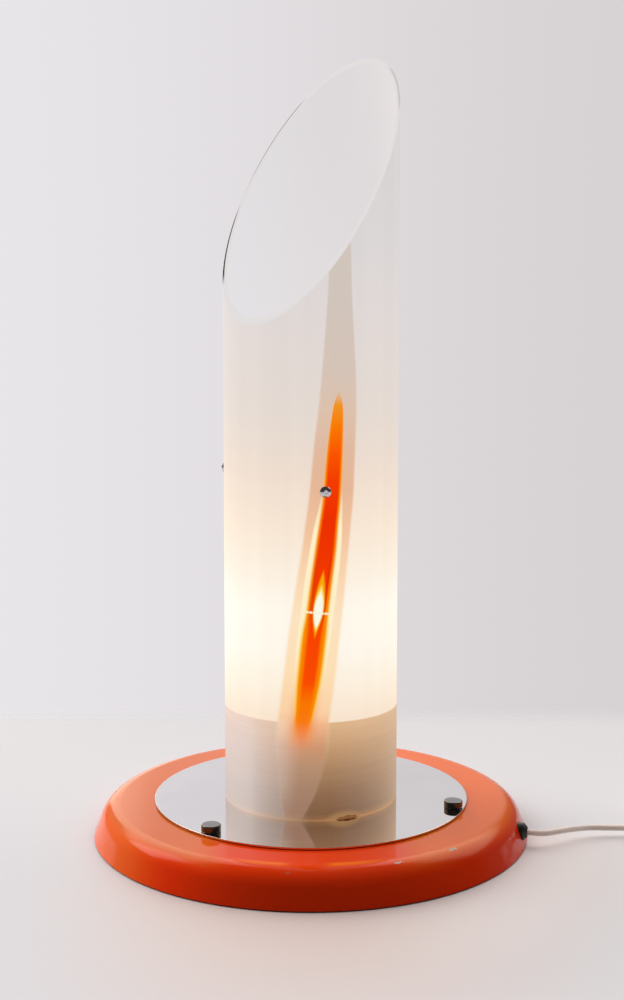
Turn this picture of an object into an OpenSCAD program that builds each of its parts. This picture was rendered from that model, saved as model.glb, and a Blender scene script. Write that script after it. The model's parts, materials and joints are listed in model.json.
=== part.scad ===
// Table lamp: a tube of opal glass, cut off on the slant, stands on a mirror plate
// on a low enamelled base. A screw bulb glows inside it above an opaque drum.
// Lengths are millimetres, +Z is up and the table is at z = 0.
// The front is -Y, and a bearing is counted in degrees from the front towards +X.

/* [Base] */
// Outer radius of the spun base
base_r = 152; // [135:1:170]
// Height of the base's flat top above the table
base_h = 22.4; // [22:0.2:30]
// Sheet thickness of the base
base_t = 1.6; // [1:0.1:2.4]
// Radius of the base's round shoulder
shoulder_r = 14; // [10:0.5:16]
// How far the base's side leans in from upright
side_lean = 22; // [16:1:26]
// Gap between the base's rim and the table
rim_gap = 0.9; // [0.3:0.1:0.9]

/* [Underside] */
// Thickness of the felt ring that the lamp stands on
felt_t = 1.5; // [1:0.1:2.5]
// Inner radius of the felt ring
felt_in_r = 108; // [104:1:115]
// Width of the felt ring
felt_w = 24; // [10:1:26]
// Thickness of the bottom cover
cover_t = 2.2; // [1.8:0.1:3]
// Radius of the circle of cover posts
post_circle_r = 92; // [80:1:95]
// Radius of a cover post
post_r = 4; // [3.5:0.1:6]
// Radius of a cover screw's shank
cover_screw_r = 1.5; // [1.2:0.1:2]

/* [Mirror plate] */
// Radius of the mirror plate
plate_r = 110; // [100:0.5:114]
// Thickness of the mirror plate
plate_t = 1.2; // [0.8:0.1:2]
// Thickness of the washers between base and plate
spacer_t = 0.5; // [0.3:0.1:1.5]

/* [Thumb nuts] */
// Radius of a thumb nut
nut_r = 6.5; // [5:0.1:8]
// Height of a thumb nut
nut_h = 4.2; // [3.6:0.1:7]
// Distance from a thumb nut to the plate's edge
nut_edge = 1; // [0.5:0.1:4]
// Bearings of the left, right and rear thumb nuts
nut_bearings = [-39, 72, 197]; // [-180:1:200]
// Radius of the studs that the thumb nuts turn on
stud_r = 2; // [1.5:0.05:2.5]
// Thickness of the washer under a thumb nut
nut_washer_t = 0.5; // [0.3:0.1:1]

/* [Glass tube] */
// Outer radius of the glass tube
glass_r = 60.5; // [57:0.5:66]
// Wall of the glass tube
glass_wall = 3; // [2.5:0.1:4]
// Height at which the slant cut crosses the tube's axis
cut_h = 448; // [400:1:500]
// Slope of the cut
cut_slope = 58; // [40:0.2:60]
// Bearing of the cut's high side
cut_bearing = 142; // [0:1:359]
// Height of the front drilled hole
hole_h = 242.6; // [210:0.2:280]
// Bearing of the front drilled hole
hole_bearing = 9; // [-60:1:60]
// Bearing of the left drilled hole
left_hole_bearing = -98; // [-120:1:-80]
// How much higher than the front hole the left one is drilled
left_hole_rise = 12; // [0:0.5:16]
// Radius of the socket screws in the drilled holes
screw_r = 2; // [1.5:0.1:2.5]
// Radius of a socket screw's head
head_r = 3.75; // [3.2:0.05:4.5]
// Height of a socket screw's domed head
head_h = 2.2; // [1.8:0.1:3]
// Width across the flats of the hexagon socket
socket_af = 2.5; // [2:0.1:3]
// Wall of the sleeve between screw and glass
sleeve_wall = 0.5; // [0.3:0.1:1]
// Thickness of the washer under a screw's head
head_washer_t = 0.5; // [0.4:0.1:1.5]
// Height of the hexagon of a cap nut inside the tube
cap_nut_h = 3.2; // [2.4:0.1:5]
// Width across the flats of a cap nut
cap_nut_af = 7; // [6:0.1:9]

/* [Drum and stem] */
// Height of the opaque drum
drum_h = 65.5; // [50:0.5:80]
// Sheet thickness of the drum
drum_t = 1.2; // [0.8:0.1:2]
// Gap between the drum and the glass around it
drum_gap = 1; // [0.6:0.1:3]
// Radius of the threaded stem pipe
pipe_r = 5; // [4.5:0.1:6]
// Bore radius of the stem pipe
pipe_bore_r = 3.5; // [3:0.1:4]
// Height of the pillar sleeve under the lampholder
pillar_h = 21; // [10:0.5:30]
// Radius of the pillar sleeve
pillar_r = 7.5; // [7:0.1:9]

/* [Lampholder] */
// Outer radius of the lampholder
holder_r = 20; // [19:0.1:24]
// Height of the lampholder
holder_h = 54; // [50:0.5:60]
// Height of the lampholder's cap
holder_cap_h = 22; // [20:0.5:24]
// Wall of the lampholder's cap and skirt
holder_wall = 1.8; // [1.2:0.1:2.4]
// Thickness of the ceramic insert
insert_h = 13; // [10:0.5:16]
// Inner radius of the lampholder's screw liner
liner_bore_r = 13.4; // [13.3:0.05:14]
// Sheet thickness of the screw liner
liner_t = 0.6; // [0.4:0.1:1]

/* [Bulb] */
// Largest radius of the bulb's glass
bulb_r = 30; // [25:0.5:34]
// Length of the bulb from its tip contact to its top
bulb_l = 105; // [98:0.5:115]
// Height of the filament above the tip contact
light_h = 75; // [70:0.5:80]
// Radius of the bulb's screw cap
bulb_cap_r = 13; // [12.5:0.05:13.1]
// Height of the bulb's screw cap
bulb_cap_h = 21; // [18:0.5:23]
// Wall of the bulb's glass
bulb_wall = 0.8; // [0.5:0.1:1.2]
// Length of the filament
filament_l = 19; // [12:0.5:24]

/* [Cord entry] */
// Bearing of the cable gland
gland_bearing = 74; // [60:1:90]
// Height of the cable gland's axis
gland_z = 10; // [9.6:0.1:10.6]
// Radius of the cable gland
gland_r = 6; // [5:0.1:6.5]
// Radius of the gland's threaded neck in the base wall
gland_neck_r = 4; // [3.2:0.1:4.5]
// Reach of the gland past the base's widest line
gland_out = 4.5; // [4:0.1:6]
// Diameter of the mains cord
cord_d = 4; // [3:0.1:4.6]
// Length of the terminal block
block_l = 22; // [16:0.5:26]
// Width of the terminal block
block_w = 16; // [12:0.5:20]
// Radius of an inner lead
lead_r = 0.9; // [0.6:0.05:1.1]

/* [Cord switch and plug] */
// Length of the switch housing
switch_l = 58; // [54:0.5:58]
// Width of the switch housing
switch_w = 22; // [20:0.5:24]
// Height of the switch housing
switch_h = 16; // [15:0.2:19]
// Length of the rocker
rocker_l = 24; // [20:0.5:26]
// Width of the rocker
rocker_w = 10; // [8:0.2:11]
// Tilt of the rocker to either side of level
rocker_tilt = 8; // [4:0.5:9]
// Radius of the rocker's pin
rocker_pin_r = 1; // [0.8:0.05:1.2]
// Length of the plug's body
plug_l = 36; // [32:0.5:44]
// Width of the plug's body
plug_w = 35; // [32:0.5:40]
// Thickness of the plug's body
plug_t = 13.7; // [11:0.1:13.7]
// Length of a plug pin
plug_pin_l = 19; // [16:0.5:20]
// Radius of a plug pin
plug_pin_r = 2; // [1.5:0.1:2.4]
// Spacing of the plug pins
plug_pin_gap = 18.6; // [16:0.1:20]

// Length of the plug's flexible sleeve
plug_sleeve_l = 20; // [20:0.5:22]

/* [Coil] */
// Outermost radius of the coil's centreline
coil_out_r = 29.5; // [28:0.5:29.5]
// Turns in each of the coil's four layers
coil_layer_turns = 2.75; // [1.75:1:2.75]
// Clear gap between turns that lie beside each other
coil_side_gap = 0.8; // [0.6:0.1:0.9]
// Clear gap between layers that lie over each other
coil_layer_gap = 0.7; // [0.6:0.1:1]
// Width of the ties round the coil
tie_w = 6; // [4:0.5:10]
// Thickness of the ties
tie_t = 0.8; // [0.5:0.1:1.2]

/* [Hidden] */
$fn = 72;
form_fn = 240;

// Clearances
run_gap = 0.05;
slip_gap = 0.2;
seat_gap = 0.05;
loose_gap = 0.3;
eps = 0.01;

// Heights through the stack, from the table up
cover_z = felt_t;
cover_top = cover_z + cover_t;
shell_under = base_h - base_t;
plate_z = base_h + spacer_t;
plate_top = plate_z + plate_t;
nut_z = plate_top + nut_washer_t;
drum_floor_top = plate_top + drum_t;

// Base section
shoulder_z = base_h - shoulder_r;
shoulder_over = 0.02;
shoulder_x = base_r - (shoulder_r - shoulder_over) / cos(side_lean) - (shoulder_z - rim_gap) * tan(side_lean);

// Radius of the leaning side at a height
function side_x(z) = base_r - (z - rim_gap) * tan(side_lean);

below = 5;

// Cover fastening
cover_gap = 0.6;
cover_r = side_x(cover_top) - base_t / cos(side_lean) - cover_gap;
cover_head_r = 2 * cover_screw_r;
cover_head_h = 1.2;
cover_screw_bite = 8;
post_bearings = [16, 136, 256];

// Studs and their nuts
stud_circle_r = plate_r - nut_edge - nut_r;
nut_roof = 1;
nut_bevel = 0.5;
stud_end_gap = 0.4;
stud_nut_h = 2.4;
stud_tail = 1;
stud_top = nut_z + nut_h - nut_roof - stud_end_gap;
stud_low = shell_under - stud_nut_h - stud_tail;
stud_nut_af = 3.5 * stud_r;
washer_r = nut_r - 0.2;
spacer_r = 3 * stud_r;

// Stem
stem_nut_h = 4;
stem_nut_af = 2.8 * pipe_r;
stem_washer_r = 2.6 * pipe_r;
stem_washer_t = 1.5;
pipe_tail = 1;
pipe_low = shell_under - stem_washer_t - stem_nut_h - pipe_tail;
pillar_z = drum_floor_top + stem_nut_h;
holder_z = pillar_z + pillar_h;
pipe_bite = 6;

// Drum and glass
glass_bore_r = glass_r - glass_wall;
head_edge = 0.5;
drum_r = glass_bore_r - drum_gap;
left_hole = [left_hole_bearing, hole_h + left_hole_rise];
rear_hole = [(hole_bearing + left_hole_bearing) / 2 + 180, hole_h + left_hole_rise / 2];
holes = [[hole_bearing, hole_h], left_hole, rear_hole];
hole_r = screw_r + run_gap + sleeve_wall + slip_gap;
cut_reach = 2 * glass_r / cos(cut_slope);
blank_h = cut_h + glass_r * tan(cut_slope) + below - plate_top;

// Lampholder
holder_floor = 3;
holder_foot_r = 12;
holder_cone_h = 12;
insert_r = holder_r - holder_wall - slip_gap;
insert_z = holder_z + holder_cone_h + holder_floor;
insert_top = insert_z + insert_h;
contact_r = 5;
contact_t = 1;
mouth_z = holder_z + holder_h;
skirt_lip = 1.5;
liner_out_r = liner_bore_r + liner_t;

// Bulb, from its tip contact up
bulb_z = insert_top + contact_t + loose_gap;
tip_r = 4.5;
tip_h = 1.6;
insulator_h = 4.4;
insulator_foot_r = 5.5;
bulb_cap_z = bulb_z + tip_h + insulator_h;
bulb_cap_top = bulb_cap_z + bulb_cap_h;
bulb_cap_t = 0.4;
thread_pitch = 3.63;
thread_depth = 0.5;
neck_r = bulb_cap_r - thread_depth - bulb_cap_t - 2 * run_gap;
neck_sunk = 6;
neck_z = bulb_cap_top - neck_sunk;
bulb_mid = bulb_z + bulb_l - bulb_r;
neck_steps = 14;
dome_steps = 12;
filament_z = bulb_z + light_h;
filament_r = 0.5;
stem_flare_h = 1.2;
stem_rod_r = 4;
stem_top = filament_z - 20;
wire_r = 0.4;
wire_foot = 2.5;

// Cord entry
cord_r = cord_d / 2;
gland_wall_r = side_x(gland_z);
gland_face_r = gland_wall_r + gland_out;
gland_depth = 16;
gland_back_r = base_r - gland_depth;
gland_bevel = 2.6;
gland_grip = 7.5;
gland_in_r = gland_wall_r - gland_grip;
gland_neck_out_r = side_x(gland_z - gland_neck_r) + 1;
gland_nut_r = gland_z - cover_top - loose_gap;
block_h = 9.6;
block_out_r = 104;
block_in_r = block_out_r - block_l;
terminal_r = 1.8;
lead_bend_r = 4;
lead_off = lead_r + loose_gap;
lead_top = insert_z - seat_gap;

// Switch on the cord
switch_at = [261, -22, 0];
switch_split = 6;
switch_corner = 5;
switch_floor = 2;
switch_roof = 4;
switch_side = 3;
switch_end = 11;
switch_screw_x = switch_l / 2 - 5;
switch_screw_y = switch_w / 2 - 5;
switch_screw_r = 1.2;
switch_screw_bite = 5;
pivot_z = switch_h - 1.6;
pin_l = switch_w - 7;
rocker_skirt = 3;
rocker_end_h = 2.2;
rocker_ridge_h = 4.2;
rocker_foot = 1;
contact_size = [6, 4, 5];
contact_x = 8;

// Plug on the coil's end
plug_at = [312, 94, 0];
plug_neck_w = 12;
plug_sleeve_r = 5;
plug_sleeve_tip_r = cord_r + 0.8;
plug_mouth = plug_at + [0, -seat_gap - plug_sleeve_l - slip_gap, plug_t / 2];
plug_taper_l = 12;
plug_nose = 6;

// Coil: four layers, inwards and outwards in turn
coil_at = [282.5, 30, tie_t + slip_gap + cord_r];
coil_layers = 4;
coil_step = cord_d + coil_side_gap;
coil_rise = cord_d + coil_layer_gap;
coil_turns = coil_layers * coil_layer_turns;
coil_rings = 24;
coil_sides = 6;
coil_top_z = coil_at[2] + (coil_layers - 1) * coil_rise;
tie_bearings = [20, 160];

// Free stretch from the gland to the switch
gland_dir = [sin(gland_bearing), -cos(gland_bearing), 0];
gland_exit = gland_dir * gland_face_r + [0, 0, gland_z];
switch_in = switch_at + [-switch_l / 2 - slip_gap, 0, switch_split];
switch_out = switch_at + [switch_l / 2 + slip_gap, 0, switch_split];
tube_route = concat(
    [gland_exit, gland_exit + 0.75 * gland_dir * cord_d],
    [[155, -43.9, 9.9], [160, -43, 9.7], [164, -41, 9.5], [172, -35.7, 8.8], [180, -30.3, 8]],
    [[193, -24.2, 6.8], [207.5, -22, 5.9], [218, -22, 5.8]],
    [switch_in - [cord_d, 0, 0], switch_in]
);
tube_sides = 10;
tube_steps = 2;

// Lead from the switch into the coil, and from the coil to the plug
coil_in_route = [
    switch_out, switch_out + [cord_d, 0, 0],
    [303.5, -19.7, 5.5], [309.7, -13.5, 4.8], [312, -5, 4.2], [312, 6, 3.4], [312, 16, 3]
];
coil_out_route = [
    [312, 38, coil_top_z], [312, 48, 15.6], [312, 58, 11.4],
    [312, 67, 7.8], plug_mouth
];
lead_steps = 2;

// Paths and tubes
function unit(v) = v / norm(v);

function on_curve(p, i, t) =
    let (
        a = p[max(i - 1, 0)],
        b = p[i],
        c = p[i + 1],
        d = p[min(i + 2, len(p) - 1)]
    )
    (2 * b + (c - a) * t + (2 * a - 5 * b + 4 * c - d) * t * t
        + (3 * b - a - 3 * c + d) * t * t * t) / 2;

function curve(p, steps) = concat(
    [for (i = [0:len(p) - 2]) for (k = [0:steps - 1]) on_curve(p, i, k / steps)],
    [p[len(p) - 1]]
);

function heading(path, i) =
    unit(path[min(i + 1, len(path) - 1)] - path[max(i - 1, 0)]);

function ring(centre, dir, r, sides) =
    let (
        side = unit(cross(dir, [0, 0, 1])),
        up = cross(side, dir)
    )
    [for (k = [0:sides - 1]) centre + r * (cos(360 * k / sides) * side + sin(360 * k / sides) * up)];

// A round tube along a path, as triangles
module sweep(path, r, sides) {
    n = len(path);
    points = [for (i = [0:n - 1]) each ring(path[i], heading(path, i), r, sides)];
    last = (n - 1) * sides;
    start_cap = [for (k = [1:sides - 2]) [0, k, k + 1]];
    end_cap = [for (k = [1:sides - 2]) [last, last + k + 1, last + k]];
    walls = [
        for (i = [0:n - 2])
            for (k = [0:sides - 1])
                let (
                    a = i * sides + k,
                    b = i * sides + (k + 1) % sides
                )
                each [[a, a + sides, b], [b, a + sides, b + sides]]
    ];
    polyhedron(points, concat(start_cap, walls, end_cap));
}

// How far a layer's spiral has gone inwards after some turns, as a steady zigzag
function coil_inset(turns) =
    let (
        part = turns % (2 * coil_layer_turns)
    )
    coil_step * (part < coil_layer_turns ? part : 2 * coil_layer_turns - part);

// Layers climbed after some turns: one in the half turn at each reversal
function coil_climb(turns) =
    let (
        layer = round(turns / coil_layer_turns),
        off = (turns - layer * coil_layer_turns) * 4
    )
    layer == 0 ? 0
    : layer == coil_layers ? coil_layers - 1
    : layer - 0.5 + (abs(off) < 1 ? sin(90 * off) : sign(off)) / 2;

function coil_point(turns) =
    let (
        r = coil_out_r - coil_inset(turns)
    )
    coil_at + [r * cos(360 * turns), r * sin(360 * turns), coil_climb(turns) * coil_rise];

function coil_points(per_turn) =
    [for (i = [0:round(coil_turns * per_turn)]) coil_point(i / per_turn)];

function least_gap(p, skip) =
    min([for (i = [0:len(p) - 1 - skip]) min([for (j = [i + skip:len(p) - 1]) norm(p[i] - p[j])])]);

// Shared shapes
module at_bearing(bearing, r, z) {
    rotate([0, 0, bearing - 90]) translate([r, 0, z]) children();
}

module rod(r, l) {
    rotate([0, 90, 0]) cylinder(r = r, h = l);
}

module collar(r, bore_r, h) {
    difference() {
        cylinder(r = r, h = h);
        translate([0, 0, -eps]) cylinder(r = bore_r, h = h + 2 * eps);
    }
}

module hex(af, h) {
    cylinder(r = af / 2 / cos(30), h = h, $fn = 6);
}

module hex_nut(af, bore_r, h) {
    difference() {
        hex(af, h);
        translate([0, 0, -eps]) cylinder(r = bore_r, h = h + 2 * eps);
    }
}

module at_studs() {
    for (bearing = nut_bearings) at_bearing(bearing, stud_circle_r, 0) children();
}

module at_posts() {
    for (bearing = post_bearings) at_bearing(bearing, post_circle_r, 0) children();
}

// Local X runs outwards from the tube's axis through each drilled hole
module at_holes() {
    for (hole = holes) at_bearing(hole[0], 0, hole[1]) children();
}

// The leaning side runs into the shoulder's arc, which stands a hair proud of it there
module base_section(inset, low) {
    arc_r = shoulder_r - inset;
    foot_x = side_x(low) - inset / cos(side_lean);
    bend_r = arc_r - shoulder_over;
    bend = [shoulder_x + bend_r * cos(side_lean), shoulder_z + bend_r * sin(side_lean)];
    translate([0, low]) square([shoulder_x, base_h - inset - low]);
    polygon([[0, low], [foot_x, low], bend, [shoulder_x, shoulder_z], [0, shoulder_z]]);
    translate([shoulder_x, shoulder_z]) intersection() {
        circle(r = arc_r);
        square(2 * shoulder_r);
    }
}

module base_form(inset, low) {
    rotate_extrude($fn = form_fn) base_section(inset, low);
}

// Base
module base_shell() {
    color("orangered") difference() {
        base_form(0, rim_gap);
        base_form(base_t, rim_gap - below);
        at_studs() cylinder(r = stud_r + slip_gap, h = base_h + below);
        cylinder(r = pipe_r + slip_gap, h = base_h + below);
        at_bearing(gland_bearing, gland_back_r, gland_z) rod(gland_neck_r + slip_gap, gland_depth + below);
    }
}

module base_cover() {
    color("dimgray") difference() {
        translate([0, 0, cover_z]) cylinder(r = cover_r, h = cover_t);
        at_posts() cylinder(r = cover_screw_r + slip_gap, h = cover_top + below);
        at_posts() cylinder(r = cover_head_r + slip_gap, h = cover_z + cover_head_h);
    }
}

module cover_posts() {
    color("silver") at_posts() difference() {
        translate([0, 0, cover_top]) cylinder(r = post_r, h = shell_under - cover_top);
        cylinder(r = cover_screw_r + run_gap, h = cover_top + cover_screw_bite + loose_gap);
    }
}

module cover_screws() {
    color("gray") at_posts() {
        translate([0, 0, cover_z]) cylinder(r = cover_head_r, h = cover_head_h);
        translate([0, 0, cover_z]) cylinder(r = cover_screw_r, h = cover_t + cover_screw_bite);
    }
}

module felt_ring() {
    color("black") collar(felt_in_r + felt_w, felt_in_r, felt_t);
}

// Mirror plate and its fastening
module plate_spacers() {
    color("ivory") at_studs() translate([0, 0, base_h]) collar(spacer_r, stud_r + slip_gap, spacer_t);
}

module mirror_plate() {
    color("gainsboro") difference() {
        translate([0, 0, plate_z]) cylinder(r = plate_r, h = plate_t);
        at_studs() cylinder(r = stud_r + slip_gap, h = plate_top + below);
        cylinder(r = pipe_r + slip_gap, h = plate_top + below);
    }
}

module plate_studs() {
    color("silver") at_studs() translate([0, 0, stud_low]) cylinder(r = stud_r, h = stud_top - stud_low);
}

module stud_nuts() {
    color("silver") at_studs() translate([0, 0, shell_under - stud_nut_h])
        hex_nut(stud_nut_af, stud_r + run_gap, stud_nut_h);
}

module thumb_nut(bearing) {
    color([0.08, 0.08, 0.08]) at_bearing(bearing, stud_circle_r, nut_z) difference() {
        union() {
            cylinder(r = nut_r, h = nut_h - nut_bevel);
            translate([0, 0, nut_h - nut_bevel]) cylinder(r1 = nut_r, r2 = nut_r - nut_bevel, h = nut_bevel);
        }
        translate([0, 0, -eps]) cylinder(r = stud_r + run_gap, h = nut_h - nut_roof + eps);
    }
}

module thumb_washer(bearing) {
    color([0.12, 0.12, 0.12]) at_bearing(bearing, stud_circle_r, plate_top)
        collar(washer_r, stud_r + run_gap, nut_washer_t);
}

module nut_left() {
    thumb_nut(nut_bearings[0]);
}

module nut_right() {
    thumb_nut(nut_bearings[1]);
}

module nut_rear() {
    thumb_nut(nut_bearings[2]);
}

module washer_left() {
    thumb_washer(nut_bearings[0]);
}

module washer_right() {
    thumb_washer(nut_bearings[1]);
}

module washer_rear() {
    thumb_washer(nut_bearings[2]);
}

// Stem and drum
module stem_pipe() {
    color("goldenrod") translate([0, 0, pipe_low])
        collar(pipe_r, pipe_bore_r, holder_z + pipe_bite - pipe_low);
}

module stem_washer() {
    color("silver") translate([0, 0, shell_under - stem_washer_t])
        collar(stem_washer_r, pipe_r + slip_gap, stem_washer_t);
}

module stem_nut_low() {
    color("goldenrod") translate([0, 0, shell_under - stem_washer_t - stem_nut_h])
        hex_nut(stem_nut_af, pipe_r + run_gap, stem_nut_h);
}

module stem_nut_high() {
    color("goldenrod") translate([0, 0, drum_floor_top])
        hex_nut(stem_nut_af, pipe_r + run_gap, stem_nut_h);
}

module stem_pillar() {
    color("goldenrod") translate([0, 0, pillar_z]) collar(pillar_r, pipe_r + slip_gap, pillar_h);
}

module drum() {
    color("white") translate([0, 0, plate_top]) difference() {
        cylinder(r = drum_r, h = drum_h);
        translate([0, 0, drum_t]) cylinder(r = drum_r - drum_t, h = drum_h);
        translate([0, 0, -eps]) cylinder(r = pipe_r + slip_gap, h = drum_h);
    }
}

// Lampholder
module holder_cap() {
    color("black") translate([0, 0, holder_z]) rotate_extrude() polygon([
        [pipe_r + run_gap, 0], [holder_foot_r, 0],
        [holder_r, holder_cone_h], [holder_r, holder_cap_h],
        [holder_r - holder_wall, holder_cap_h], [holder_r - holder_wall, holder_cone_h + holder_floor],
        [holder_foot_r - holder_wall, holder_floor], [pipe_r + run_gap, holder_floor]
    ]);
}

module holder_insert() {
    color("white") translate([0, 0, insert_z]) cylinder(r = insert_r, h = insert_h);
}

module holder_contact() {
    color("gold") translate([0, 0, insert_top]) cylinder(r = contact_r, h = contact_t);
}

module holder_liner() {
    color("gold") translate([0, 0, insert_top])
        collar(liner_out_r, liner_bore_r, mouth_z - skirt_lip - insert_top);
}

module holder_skirt() {
    color("black") difference() {
        translate([0, 0, holder_z + holder_cap_h]) cylinder(r = holder_r, h = holder_h - holder_cap_h);
        translate([0, 0, holder_z]) cylinder(r = holder_r - holder_wall, h = holder_h - skirt_lip);
        translate([0, 0, holder_z]) cylinder(r = liner_out_r, h = holder_h + below);
    }
}

// Bulb
module bulb_tip() {
    color("silver") translate([0, 0, bulb_z]) cylinder(r = tip_r, h = tip_h);
}

module bulb_insulator() {
    color("black") translate([0, 0, bulb_z + tip_h])
        cylinder(r1 = insulator_foot_r, r2 = neck_r, h = insulator_h);
}

// The screw thread is drawn as a row of round ridges
module bulb_cap() {
    ridges = floor((bulb_cap_h - neck_sunk) / thread_pitch);
    outer = [
        for (k = [0:ridges * 4])
            [bulb_cap_r - thread_depth / 2 * (1 - cos(90 * k)), bulb_cap_z + k * thread_pitch / 4]
    ];
    color("goldenrod") rotate_extrude() polygon(concat(
        [[neck_r + run_gap, bulb_cap_z]],
        outer,
        [[bulb_cap_r, bulb_cap_top], [neck_r + run_gap, bulb_cap_top]]
    ));
}

// Radius of the bulb between neck and widest line, from 0 to 1 of the way up
function bulb_flare(t) = neck_r + (bulb_r - neck_r) * (1 - cos(180 * t)) / 2;

module bulb_section(inset) {
    polygon(concat(
        [[0, neck_z], [neck_r - inset, neck_z]],
        [
            for (k = [0:neck_steps])
                let (t = k / neck_steps)
                [bulb_flare(t) - inset, bulb_cap_top + (bulb_mid - bulb_cap_top) * t]
        ],
        [
            for (k = [1:dome_steps])
                (bulb_r - inset) * [cos(90 * k / dome_steps), sin(90 * k / dome_steps)] + [0, bulb_mid]
        ]
    ));
}

module bulb_glass() {
    color([0.9, 0.9, 0.9, 0.4]) difference() {
        rotate_extrude() bulb_section(0);
        translate([0, 0, -eps]) rotate_extrude() bulb_section(bulb_wall);
    }
}

module bulb_stem() {
    color([0.8, 0.85, 0.85, 0.6]) {
        translate([0, 0, neck_z]) cylinder(r = neck_r - bulb_wall - slip_gap, h = stem_flare_h);
        translate([0, 0, neck_z]) cylinder(r = stem_rod_r, h = stem_top - neck_z);
    }
}

module bulb_leads() {
    rise = filament_z - stem_top;
    lean = filament_l / 2 - wire_foot;
    tilt = atan(lean / rise);
    foot = stem_top + wire_r * sin(tilt) + seat_gap;
    wire_l = norm([lean, rise]) - filament_r - 2 * wire_r;
    color("silver") for (side = [-1, 1]) translate([side * wire_foot, 0, foot])
        rotate([0, side * tilt, 0]) cylinder(r = wire_r, h = wire_l);
}

module bulb_filament() {
    color("gold") translate([-filament_l / 2 - wire_r, 0, filament_z])
        rod(filament_r, filament_l + 2 * wire_r);
}

// Glass tube and its screws
module glass_tube() {
    color([0.95, 0.93, 0.9, 0.8]) difference() {
        translate([0, 0, plate_top]) cylinder(r = glass_r, h = blank_h);
        cylinder(r = glass_bore_r, h = plate_top + blank_h + below);
        at_bearing(cut_bearing, 0, cut_h) rotate([0, -cut_slope, 0])
            translate([-cut_reach, -cut_reach, 0]) cube([2 * cut_reach, 2 * cut_reach, 2 * cut_reach]);
        at_holes() rod(hole_r, glass_r + below);
    }
}

// A low dome, cut off by its round edge
module button_head() {
    rise = head_h - head_edge;
    ball_r = (head_r * head_r + rise * rise) / (2 * rise);
    intersection() {
        rod(head_r, 2 * head_h);
        translate([head_h - ball_r, 0, 0]) rotate([0, 0, 180]) sphere(r = ball_r);
    }
}

module glass_screws() {
    seat = glass_r + head_washer_t + 2 * seat_gap;
    tail = glass_bore_r - cap_nut_h;
    color("silver") at_holes() difference() {
        union() {
            translate([tail, 0, 0]) rod(screw_r, seat - tail);
            translate([seat, 0, 0]) button_head();
        }
        translate([seat + head_h / 2, 0, 0]) rotate([0, 90, 0]) hex(socket_af, head_h);
    }
}

module screw_washers() {
    color("whitesmoke") at_holes() translate([glass_r + seat_gap, 0, 0]) rotate([0, 90, 0])
        collar(head_r, screw_r + run_gap, head_washer_t);
}

module screw_sleeves() {
    color("whitesmoke") at_holes() translate([glass_bore_r, 0, 0]) rotate([0, 90, 0])
        collar(screw_r + run_gap + sleeve_wall, screw_r + run_gap, glass_wall);
}

// Flat against a curved wall, a nut's corners touch first
module screw_nuts() {
    corner = cap_nut_af / 2 / cos(30);
    seat = sqrt(glass_bore_r * glass_bore_r - corner * corner) - seat_gap;
    dome_r = cap_nut_af / 2 - loose_gap;
    color("silver") at_holes() difference() {
        union() {
            translate([seat - cap_nut_h, 0, 0]) rotate([0, 90, 0]) hex(cap_nut_af, cap_nut_h);
            translate([seat - cap_nut_h, 0, 0]) sphere(r = dome_r);
        }
        translate([glass_bore_r - cap_nut_h - loose_gap, 0, 0]) rod(screw_r + run_gap, glass_r);
    }
}

// Cord entry and wiring in the base
module gland() {
    color([0.05, 0.05, 0.05]) difference() {
        union() {
            difference() {
                at_bearing(gland_bearing, gland_back_r, gland_z) {
                    rod(gland_r, gland_face_r - gland_bevel - gland_back_r);
                    translate([gland_face_r - gland_bevel - gland_back_r, 0, 0]) rotate([0, 90, 0])
                        cylinder(r1 = gland_r, r2 = gland_r - gland_bevel, h = gland_bevel);
                }
                base_form(-seat_gap, rim_gap - below);
            }
            at_bearing(gland_bearing, gland_in_r, gland_z) rod(gland_neck_r, gland_neck_out_r - gland_in_r);
        }
        at_bearing(gland_bearing, gland_back_r, gland_z)
            rod(cord_r + run_gap, gland_depth + gland_out + below);
    }
}

module gland_nut() {
    color([0.05, 0.05, 0.05]) difference() {
        intersection() {
            at_bearing(gland_bearing, gland_in_r, gland_z) rod(gland_nut_r, base_r - gland_in_r);
            base_form(base_t + seat_gap, rim_gap - below);
        }
        at_bearing(gland_bearing, gland_back_r, gland_z) rod(gland_neck_r + run_gap, gland_depth);
    }
}

module cord_sheath() {
    color("whitesmoke") at_bearing(gland_bearing, block_out_r, gland_z)
        rod(cord_r, gland_face_r - loose_gap - block_out_r);
}

module at_terminals() {
    for (side = [-1, 1]) at_bearing(gland_bearing, block_in_r + block_l / 2, cover_top)
        translate([0, side * block_w / 4, 0]) children();
}

module terminal_block() {
    color("ivory") difference() {
        at_bearing(gland_bearing, block_in_r, cover_top) translate([0, -block_w / 2, 0])
            cube([block_l, block_w, block_h]);
        at_terminals() translate([0, 0, block_h / 2]) cylinder(r = terminal_r + run_gap, h = block_h);
    }
}

module terminal_screws() {
    color("gold") at_terminals() translate([0, 0, block_h / 2])
        cylinder(r = terminal_r, h = block_h / 2 - loose_gap);
}

module leads() {
    bend_z = gland_z + lead_bend_r;
    color("saddlebrown") for (side = [-1, 1]) at_bearing(gland_bearing, 0, 0)
        translate([0, side * lead_off, 0]) {
            translate([lead_bend_r, 0, gland_z]) rod(lead_r, block_in_r - lead_bend_r);
            translate([lead_bend_r, 0, bend_z]) rotate([90, 0, 0]) rotate([0, 0, 180])
                rotate_extrude(angle = 90) translate([lead_bend_r, 0]) circle(r = lead_r);
            translate([0, 0, bend_z]) cylinder(r = lead_r, h = lead_top - bend_z);
        }
}

// Cord and what is on it
module cord_tube() {
    color("whitesmoke") sweep(curve(tube_route, tube_steps), cord_r, tube_sides);
}

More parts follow.
